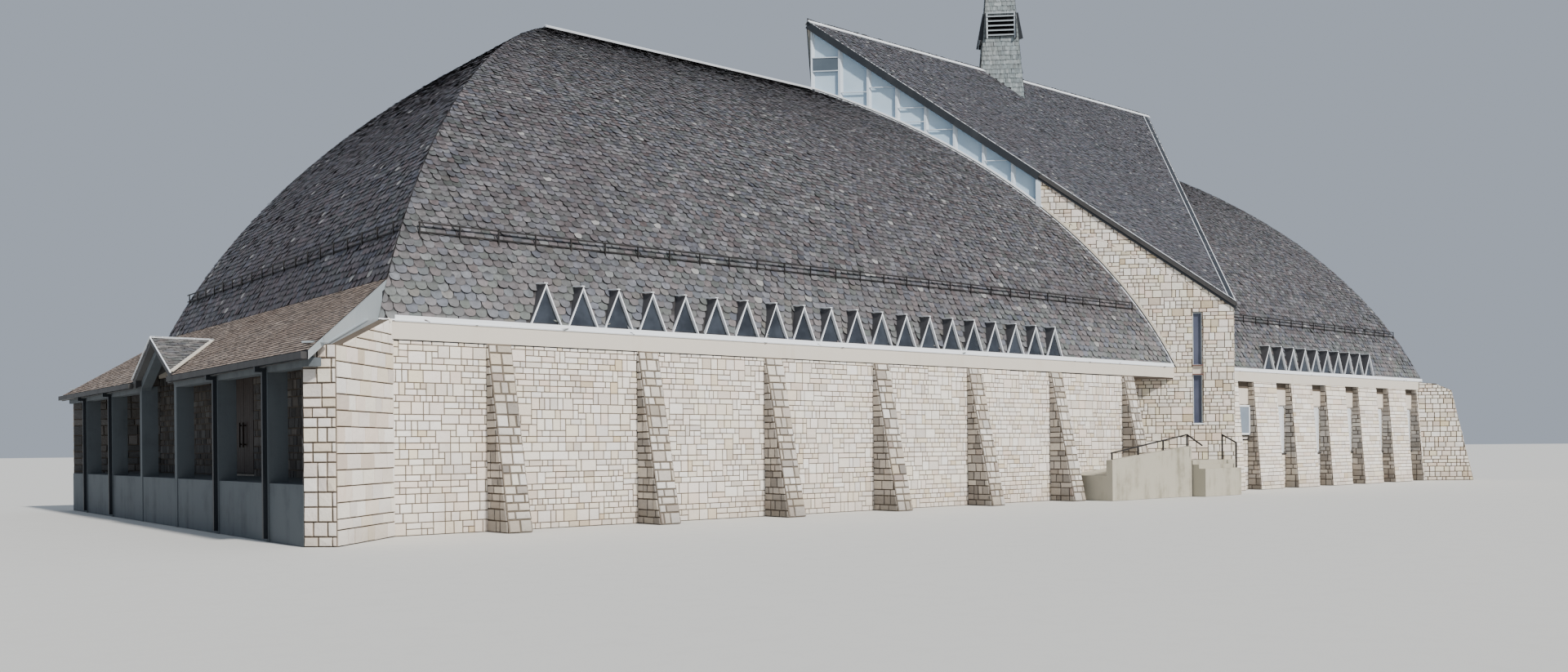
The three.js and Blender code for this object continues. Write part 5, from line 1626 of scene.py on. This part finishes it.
class Mason:
    """Lays stones on flat regions and joins them into one piece for each wall."""

    least_strip = 0.04
    least_cut = 0.002
    least_base = 0.0015
    least_front = 0.0008
    sunk = 0.004
    proud_range = (0.75, 1.15)
    crown_range = (-0.05, 0.35)
    corner_wander = 0.3
    face_wander = 0.1

    def __init__(self, seed: int) -> None:
        """Starts an empty wall."""
        self.rng = np.random.default_rng(seed)
        self.points: list[np.ndarray] = []
        self.faces: list[list[int]] = []
        self.tones: list[tuple[float, float, float, float]] = []
        self.count = 0

    def pattern(self, laying: Laying, low: Pair, high: Pair) -> list[tuple]:
        """Lays rectangles over an area, each in the lowest gap of the wall so far.

        Args:
            laying: The way of laying.
            low: Lowest corner.
            high: Highest corner.

        Returns:
            Rectangles as low u, low v, high u, high v.
        """
        columns = int((high[0] - low[0]) / laying.unit) + 2
        rows = int((high[1] - low[1]) / laying.unit) + 1
        tops = [0] * columns
        rectangles = []
        while min(tops) < rows:
            base = min(tops)
            start = end = tops.index(base)
            while end < columns and tops[end] == base:
                end += 1
            wide = min(int(self.rng.choice(laying.widths)), end - start)
            if end - start - wide < min(laying.widths):
                wide = end - start if end - start <= max(laying.widths) else wide - 1
            left = tops[start - 1] - base if start else 0
            right = tops[end] - base if end < columns and start + wide == end else 0
            tall = self._height(laying, left, right)
            tops[start:start + wide] = [base + tall] * wide
            rectangles.append((
                low[0] + start * laying.unit, low[1] + base * laying.unit,
                low[0] + (start + wide) * laying.unit, low[1] + (base + tall) * laying.unit,
            ))
        return rectangles

    def _height(self, laying: Laying, left: int, right: int) -> int:
        """Height of the next stone, from what stands at its left and right.

        Args:
            laying: The way of laying.
            left: Units by which the wall at its left is higher.
            right: The same at its right.

        Returns:
            The height in units.
        """
        tall = int(self.rng.choice(laying.heights))
        if min(laying.heights) <= left <= max(laying.heights) and self.rng.random() < laying.level:
            tall = left
        for neighbour in (left, right):
            if abs(tall - neighbour) == 1 and neighbour >= min(laying.heights):
                tall = neighbour
        return tall

    def region(self, region: Region, laying: Laying) -> None:
        """Lays one region.

        Args:
            region: The stretch of wall.
            laying: The way of laying.
        """
        boxes = [box_of(loop) for loop in region.outlines]
        low = (min(box[0] for box in boxes), min(box[1] for box in boxes))
        high = (max(box[2] for box in boxes), max(box[3] for box in boxes))
        for rectangle in self._around_holes(self.pattern(laying, low, high), region.holes):
            for loop, box in zip(region.outlines, boxes):
                if any(rectangle[i + 2] < box[i] or rectangle[i] > box[i + 2] for i in (0, 1)):
                    continue
                piece = tidy(clip_to_rect(loop, *rectangle))
                if len(piece) >= 3 and area_of(piece) > self.least_cut:
                    self.stone(region, piece, laying)

    def _around_holes(self, rectangles: list[tuple], holes: list[Loop]) -> list[tuple]:
        """Cuts the rectangles back from the holes.

        Args:
            rectangles: What pattern gave.
            holes: Outlines of the holes.

        Returns:
            What is left of the rectangles.
        """
        for left, bottom, right, top in map(box_of, holes):
            kept = []
            for a, b, c, d in rectangles:
                if a >= right or c <= left or b >= top or d <= bottom:
                    kept.append((a, b, c, d))
                    continue
                low, high = max(a, left), min(c, right)
                strips = (
                    (left - a, (a, b, left, d)), (c - right, (right, b, c, d)),
                    (bottom - b, (low, b, high, bottom)), (d - top, (low, top, high, d)),
                )
                kept += [strip for size, strip in strips if size > self.least_strip]
            rectangles = kept
        return rectangles

    def stone(self, region: Region, outline: Loop, laying: Laying) -> None:
        """Adds one stone with bevelled edges and a slightly crowned face.

        Args:
            region: The stretch of wall.
            outline: The stone with half its joint.
            laying: The way of laying.
        """
        base = inset(outline, laying.joint)
        front = inset(base, laying.bevel)
        if area_of(base) < self.least_base or area_of(front) < self.least_front:
            return
        size, proud = len(base), laying.proud
        axes = np.stack((region.across, region.upwards, region.normal))
        centre = np.mean(np.array(front), axis=0)
        middle = region.origin + np.array([*centre, PROBE]) @ axes
        if SITE.indoors(middle):
            return
        level = proud * self.rng.uniform(*self.proud_range)
        crown = level + proud * self.rng.uniform(*self.crown_range)
        local = np.zeros((2 * size + 1, 3))
        local[:size, :2], local[:size, 2] = base, -self.sunk
        spread = laying.joint * self.corner_wander
        local[size:-1, :2] = np.array(front) + self.rng.normal(0, spread, (size, 2))
        local[size:-1, 2] = level + self.rng.normal(0, proud * self.face_wander, size)
        local[-1] = (*centre, crown)
        self.points.append(region.origin + local @ axes)
        first = self.count
        for i in range(size):
            after = (i + 1) % size
            self.faces.append([first + i, first + after, first + size + after, first + size + i])
            self.faces.append([first + size + i, first + size + after, first + 2 * size])
        shade, hue, rarity = self.rng.random(3)
        # The last number is one at the sunk base corners, where the finish paints shade into the joint.
        self.tones += [(shade, hue, rarity, 1.0)] * size + [(shade, hue, rarity, 0.0)] * (size + 1)
        self.count += 2 * size + 1

    def finish(self, name: str, choice: Palette) -> None:
        """Joins the stones into one piece."""
        joined_mesh(name, np.concatenate(self.points), self.faces, np.array(self.tones), choice, "stone")


class Masonry:
    """The stones of every wall."""

    narrow = 1.15
    pier = 2.0
    first_seed = 100

    def bond_for(self, node: str, region: Region) -> tuple[Bond, Palette]:
        """Chooses how a region of a node is laid.

        Args:
            node: Name of the node.
            region: One of its regions.

        Returns:
            The bond and the finish of the stones.
        """
        faces_west, narrow = region.normal[0] < -FACING, region.width < self.narrow
        if "east" in node:
            return Bond.EAST, Palette.WARM
        if "crossing" in node:
            return Bond.CROSSING, Palette.WARM
        if "wing" in node:
            # Faces turned into the porch take the darker stone, painted shade.
            turned_in = region.normal[1] * (1.0 if "south" in node else -1.0) > 0.3
            shown = Palette.SHADED if turned_in else Palette.ASHLAR
            return Bond.QUOINS if narrow else Bond.WING, shown
        # The front wall's west faces in the porch take the darker stone, painted shade.
        if faces_west and "front_wall" in node:
            return Bond.RUBBLE, Palette.SHADED
        if narrow and abs(region.normal[1]) > 0.8:
            return Bond.QUOINS, Palette.QUOIN
        if narrow:
            return Bond.RUBBLE, Palette.REVEAL
        if "choir" in node and region.width < self.pier:
            return Bond.COURSES, Palette.ASHLAR
        return Bond.NAVE, Palette.ASHLAR

    def build(self) -> None:
        """Lays stones on every stone node."""
        slots = {part["node"]: part["material_slot"] for part in frame["record"]["subparts"]}
        names = sorted(name for name, slot in slots.items() if slot == "stone")
        for number, name in enumerate(names):
            masons: dict[Palette, Mason] = {}
            for region in flat_regions(frame["nodes"][name]):
                bond, choice = self.bond_for(name, region)
                mason = masons.setdefault(choice, Mason(self.first_seed + number))
                mason.region(region, bond.value)
            for choice, mason in masons.items():
                mason.finish(f"{name}_{choice.value.name}", choice)


@dataclass
class Openings:
    """Frames, panes, panels and sills of the slot windows, the choir windows and the clerestory."""

    slot_bar: Pair = (0.045, 0.06)
    slot_margin: float = 0.02
    slot_sill: float = 0.14
    frame_margin: float = 0.03
    sill: Pair = (0.1, 0.035)
    jamb: Pair = (0.2, 0.1)
    cross_bar: Pair = (0.05, 0.035)
    pane: float = 0.02
    slot_near: float = 1.16
    slot_far: float = 1.54
    slot_bottom: float = 2.65
    slot_top: float = 6.91
    panel_bottom: float = 4.55
    panel_top: float = 4.88
    low_rail: float = 4.54
    high_rail: float = 4.89
    recess_first: float = 35.65
    recess_pitch: float = 3.02
    recess_count: int = 6
    recess_width: float = 1.2
    recess_depth: float = 0.215
    window_width: float = 1.06
    window_bottom: float = 1.47
    first_bottom: float = 2.25
    window_top: float = 3.45
    panel_foot: float = 3.5
    panel_head: float = 4.15
    shadow_head: float = 4.42
    first_proud: float = 0.12
    second_sill: float = 0.16
    frame_width: float = 0.07
    glass_set: float = 0.09
    jamb_at: float = 6.2
    transoms: tuple[tuple[int, float], ...] = (
        (0, 0.42), (0, 0.66), (1, 0.26), (2, 0.72), (3, 0.62), (3, 0.2), (4, 0.46), (6, 0.66),
    )

    @staticmethod
    def on_wall(side: float, distance: float, height: float, out: float = 0.0) -> Point:
        """A place on the west-facing crossing wall, at a distance from its outer corner.

        Args:
            side: 1.0 for the north side, -1.0 for the south side.
            distance: Level distance from the corner.
            height: Height of the place.
            out: How far it stands out from the wall.

        Returns:
            The place in metres of the real building.
        """
        x = SITE.crossing - (distance + out) * DIAGONAL
        y = side * (SITE.crossing_wall - (distance - out) * DIAGONAL)
        return (x, y, height)

    def slot(self, side: float, name: str) -> None:
        """Frame, sills and middle panel of one slot window."""
        frames = []
        place, across = partial(self.on_wall, side, out=-self.glass_set), (self.slot_near, self.slot_far)
        for heights in ((self.slot_bottom, self.panel_bottom), (self.panel_top, self.slot_top)):
            frames += BENCH.frame(place, across, heights, self.slot_margin, self.slot_bar, (1.0, side, 0.0))
        BENCH.gather(f"{name}_slot_frame", frames, Palette.ZINC, "white_metal")

        def line(height: float, depth: float) -> Piece:
            """A level bar across the slot."""
            ends = (self.slot_near - 0.02, self.slot_far + 0.02)
            return BENCH.bar(*(self.on_wall(side, end, height, -0.02) for end in ends), self.slot_sill, depth)

        BENCH.gather(f"{name}_slot_sill", [line(self.slot_bottom, 0.05)], Palette.WHITE, "white_metal")
        rails = [line(height, 0.03) for height in (self.low_rail, self.high_rail)]
        BENCH.gather(f"{name}_slot_rails", rails, Palette.RUSSET, "dark_metal")

    def choir(self, side: float, name: str) -> None:
        """Panels with a painted beam shadow above each, frames and sills in the recesses of one side of the
        choir.
        """
        face = side * (SITE.wall_face - self.recess_depth)
        low, high = sorted((face - side * 0.02, face + side * 0.05))
        half, reach = self.window_width / 2, self.recess_width / 2 - 0.005
        panels, shadows, frames, sills = [], [], [], []
        panes: tuple[list, list] = ([], [])
        # The second stack is a dark strip of painted shadow, where the beam's shadow falls on each panel.
        stacks = ((panels, self.panel_foot, self.panel_head), (shadows, self.panel_head, self.shadow_head))
        for number in range(self.recess_count):
            middle = self.recess_first + number * self.recess_pitch + self.recess_width / 2
            bottom = self.window_bottom if number else self.first_bottom
            for stack, foot, head in stacks:
                stack.append(BENCH.block((middle - reach, low, foot), (middle + reach, high, head)))
            plane = face + side * (-0.05 if number else self.first_proud)
            ends = [(middle, plane, height) for height in (bottom + 0.02, self.window_top - 0.02)]
            panes[min(number, 1)].append(BENCH.bar(*ends, self.window_width - 0.08, self.pane, NORTH))
            frames += BENCH.frame(
                lambda x, z: (x, plane, z), (middle - half, middle + half), (bottom, self.window_top),
                self.frame_margin, (self.frame_width, self.frame_width), NORTH,
            )
            for drop in (0.0,) if number else (0.0, self.second_sill):
                y, z = face + side * 0.02, bottom - 0.03 - drop
                sills.append(BENCH.bar((middle - reach, y, z), (middle + reach, y, z), *self.sill))
        BENCH.gather(f"choir_panels_{name}", panels, Palette.PANEL, "concrete")
        BENCH.gather(f"choir_panel_shadows_{name}", shadows, Palette.DARK_MORTAR_AND_SHADE, "stone")
        BENCH.gather(f"choir_first_pane_{name}", panes[0], Palette.FIRST_GLASS, "window_glass")
        BENCH.gather(f"choir_panes_{name}", panes[1], Palette.CHOIR_GLASS, "window_glass")
        BENCH.gather(f"choir_window_frames_{name}", frames, Palette.WHITE, "white_metal")
        BENCH.gather(f"choir_window_sills_{name}", sills, Palette.NAVY, "dark_metal")

    def glazing(self, rake: Pair, number: int, share: float, depth: float) -> list[Point]:
        """Both ends of a level line across a bay of the clerestory.

        Args:
            rake: Its side eastwards and northwards, 1.0 or -1.0.
            number: Number of the bay from the prow.
            share: Height between the vault and the roof.
            depth: How far it lies behind the wall.

        Returns:
            The two places.
        """
        bay = SITE.glazed_end / SITE.glazed_bays
        near, far = number * bay + 0.03, (number + 1) * bay - 0.03
        middle = (near + far) / 2
        low = float(SITE.vault_height(SITE.half_width - middle))
        height = low + (SITE.roof_height(middle) - SITE.crossing_slab - low) * share
        east, north = rake
        reach = SITE.crossing_wall - depth
        return [(SITE.crossing + east * (reach - y), north * y, height) for y in (near, far)]

    def clerestory(self) -> None:
        """Cross bars and tinted panes of the glazing on all four faces."""
        bars, panes = [], []
        foot = float(SITE.vault_height(SITE.half_width - self.jamb_at))
        head = SITE.roof_height(self.jamb_at) - SITE.crossing_slab
        for rake in RAKES:
            x, y = SITE.crossing + rake[0] * (SITE.crossing_wall - self.jamb_at), rake[1] * self.jamb_at
            bars.append(BENCH.bar((x, y, foot), (x, y, head), *self.jamb, (*rake, 0.0)))
            for number, share in self.transoms:
                bars.append(BENCH.bar(*self.glazing(rake, number, share, self.glass_set), *self.cross_bar))
            low, high = (self.glazing(rake, 0, share, 0.1) for _, share in self.transoms[:2])
            tall = high[0][2] - low[0][2]
            ends = [(x, y, z + tall / 2) for x, y, z in low]
            panes.append(BENCH.bar(*ends, self.pane, tall))
        BENCH.gather("clerestory_cross_bars", bars, Palette.PANE_FRAME, "white_metal")
        BENCH.gather("clerestory_tinted_panes", panes, Palette.TINTED, "frosted_glass")

    def build(self) -> None:
        """Builds all frames."""
        for side, name in SIDES:
            self.slot(side, name)
            self.choir(side, name)
        self.clerestory()


@dataclass
class Doors:
    """Boards on both leaves of the main door."""

    face: float = 0.054
    near: float = 0.01
    far: float = 0.82
    bottom: float = 1.33
    top: float = 4.12
    boards: int = 5
    gap: float = 0.004
    thickness: float = 0.016
    edge: float = 0.005

    def build(self) -> None:
        """Boards each leaf and puts the boards on its body."""
        pitch = (self.far - self.near) / self.boards
        for side, body in ((1.0, "north_leaf"), (-1.0, "south_leaf")):
            low, high = sorted((side * (self.near + self.gap), side * (self.near + pitch - self.gap)))
            back, front = (self.face - self.thickness, low, self.bottom), (self.face, high, self.top)
            board = BENCH.block(back, front, self.edge)
            board = BENCH.row(board, self.boards, (0.0, side * pitch, 0.0))
            BENCH.gather(f"{body}_boards", [board], Palette.DOOR, "brown_wood", body)


class FrameDresser:
    """Gives every node of the frame its materials."""

    starts: dict[Palette, tuple[str, ...]] = {
        Palette.DARK_MORTAR_AND_SHADE: ("choir_wall_east", "crossing_wall", "front_w"),
        Palette.MORTAR: ("nave_wall", "choir_wall"),
        Palette.BEAM: ("nave_ring", "choir_ring"),
        Palette.RAMP: ("side_ramp",),
        Palette.FLOOR: ("floor_slab",),
        Palette.FIN: ("porch_floor", "porch_frame"),
        Palette.PANE_FRAME: ("clerestory_frame",),
        Palette.FROSTED: ("clerestory_glass",),
        Palette.WINDOW: ("crossing_window",),
        Palette.CHOIR_GLASS: ("choir_glass",),
        Palette.WHITE: ("nave_dormers", "choir_dormers"),
        Palette.NAVY: ("spire_louvres", "porch_gutter"),
        Palette.SLATE_BED: ("spire_shaft", "nave_roof", "choir_roof", "crossing_roof", "porch_roof"),
        Palette.DOOR: ("front_door", "side_door"),
        Palette.SOFFIT: ("side_ceiling",),
        Palette.DARK_METAL: ("nave_snow", "choir_snow", "west_snow", "side_railing", "stair_railing"),
    }

    def second(self, name: str, middle: np.ndarray, normal: np.ndarray) -> Palette | None:
        """Another finish for one face of a node, or nothing.

        Args:
            name: Name of the node.
            middle: Middle of the face.
            normal: Where it looks.

        Returns:
            The finish, or None for the node's own.
        """
        x, y, z = middle
        if "dormers" in name:
            if abs(normal[1]) > FACING and abs(y) < SITE.half_width and z > Roofs.dormer_sill + 0.01:
                return Palette.DORMER_GLASS
            return Palette.CHEEK if normal[2] > 0.2 and abs(y) < SITE.half_width - 0.02 else None
        if "_wall" in name:
            if SITE.indoors(middle + normal * PROBE):
                return Palette.PLASTER
            # West-facing wall faces take the dark mortar, painted shade.
            return Palette.DARK_MORTAR_AND_SHADE if normal[0] < -0.5 else None
        if "_roof" in name:
            if name.startswith("porch"):
                diagonal = abs(normal[0] - abs(normal[1])) < 0.02 and normal[0] > 0.5
                if normal[0] < -FACING:
                    return Palette.GUTTER
                return Palette.ZINC if diagonal else (Palette.SOFFIT_GREY if normal[2] < -0.3 else None)
            if name.startswith("crossing") and abs(normal[2]) < 0.1:
                return Palette.NAVY
            return Palette.PLASTER if normal[2] < -0.2 else None
        if name.startswith("porch_gutter"):
            return Palette.GUTTER if z > Porch.gutter_foot else None
        if name == "spire_louvres":
            outer = abs(x - SITE.crossing) + abs(y) > Spire.louvre_core
            return Palette.ZINC if outer and abs(normal[2]) < 0.5 else None
        if name.startswith("choir_glass"):
            return Palette.FIRST_GLASS if x < Openings.recess_first + Openings.recess_width else None
        if name.startswith("crossing_window"):
            return Palette.PANEL if Openings.low_rail < z < Openings.high_rail else None
        return None

    def build(self) -> None:
        """Dresses every node."""
        for name, node in frame["nodes"].items():
            choice = next(choice for choice, starts in self.starts.items() if name.startswith(starts))
            mesh = node.data
            mesh.materials.clear()
            found = [choice]
            for polygon in mesh.polygons:
                middle, normal = SITE.real(np.array(polygon.center)), np.array(polygon.normal)
                other = self.second(name, middle, normal) or choice
                if other not in found:
                    found.append(other)
                polygon.material_index = found.index(other)
            for other in found:
                mesh.materials.append(PAINTS.get(other))
            log.info("%s: %s", name, ", ".join(other.value.name for other in found))


@dataclass
class Studio:
    """Floor, soft light and the camera at the photograph's place."""

    camera_place: Point = (-10.878, -36.767, 1.93)
    heading: float = 39.90
    pitch: float = 0.057
    roll: float = -0.531
    lens: float = 28.69
    sensor: float = 36.0
    shift: float = 0.0698
    clip: Pair = (0.1, 1000.0)
    floor_size: float = 600.0
    floor_height: float = -0.004
    sun_from: Point = (0.06, -0.75, 0.65)
    sun_strength: float = 5.0
    sun_softness: float = 4.0
    sun_colour: Colour = (1.0, 0.96, 0.9)
    sky: Colour = (0.75, 0.85, 1.0)
    sky_strength: float = 0.5

    def camera(self) -> None:
        """Places the camera."""
        data = bpy.data.cameras.new("camera")
        data.lens, data.sensor_width, data.shift_y = self.lens, self.sensor, self.shift
        data.clip_start, data.clip_end = self.clip
        camera = bpy.data.objects.new("camera", data)
        bpy.context.scene.collection.objects.link(camera)
        yaw, pitch, roll = (math.radians(angle) for angle in (self.heading, self.pitch, self.roll))
        forward = Vector((math.sin(yaw), math.cos(yaw), 0.0))
        right = Vector((math.cos(yaw), -math.sin(yaw), 0.0))
        up = Vector(UP)
        view = forward * math.cos(pitch) + up * math.sin(pitch)
        tall = up * math.cos(pitch) - forward * math.sin(pitch)
        side = right * math.cos(roll) + tall * math.sin(roll)
        top = tall * math.cos(roll) - right * math.sin(roll)
        turn = Matrix((side, top, -view)).transposed().to_4x4()
        camera.matrix_world = Matrix.Translation(SITE.at(self.camera_place)) @ turn
        bpy.context.scene.camera = camera

    def light(self) -> None:
        """Adds one soft key light and an even sky."""
        data = bpy.data.lights.new("key", "SUN")
        data.energy, data.color = self.sun_strength, self.sun_colour
        data.angle = math.radians(self.sun_softness)
        key = bpy.data.objects.new("key", data)
        key.rotation_mode = "QUATERNION"
        key.rotation_quaternion = Vector(self.sun_from).to_track_quat("Z", "Y")
        bpy.context.scene.collection.objects.link(key)
        world = bpy.data.worlds.new("studio")
        world.use_nodes = True
        background = world.node_tree.nodes["Background"]
        background.inputs[0].default_value = (*self.sky, 1.0)
        background.inputs[1].default_value = self.sky_strength
        bpy.context.scene.world = world

    def floor(self) -> None:
        """Lays a plain pale floor."""
        BENCH.clear()
        bpy.ops.mesh.primitive_plane_add(size=self.floor_size, location=(0.0, 0.0, self.floor_height))
        floor = bpy.context.object
        floor.name = "studio_floor"
        finish = PlainFinish("studio_floor", (0.62, 0.62, 0.6), (0.6, 0.6, 0.58), 0.9, relief=0.0)
        floor.data.materials.append(finish.material())
        floor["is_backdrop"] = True

    def build(self) -> None:
        """Sets the stage."""
        self.camera()
        self.light()
        self.floor()


def corners(bounds: tuple[Iterable[float], Iterable[float]]) -> list[list[float]]:
    """Lowest and highest corner as plain lists."""
    return [[float(value) for value in corner] for corner in bounds]


def main() -> None:
    """Builds the church on its frame."""
    logging.basicConfig(level=logging.INFO, format="%(name)s: %(message)s")
    solid = corners(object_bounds())
    BENCH.clear()
    Studio().build()
    FrameDresser().build()
    for part in (Openings(), Doors(), Trims(), Porch(), Spire(), Roofs(), Masonry()):
        part.build()
        log.info("%s built", type(part).__name__)
    {"solid": solid, "dressed": corners(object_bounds())}


if __name__ == "__main__":
    main()
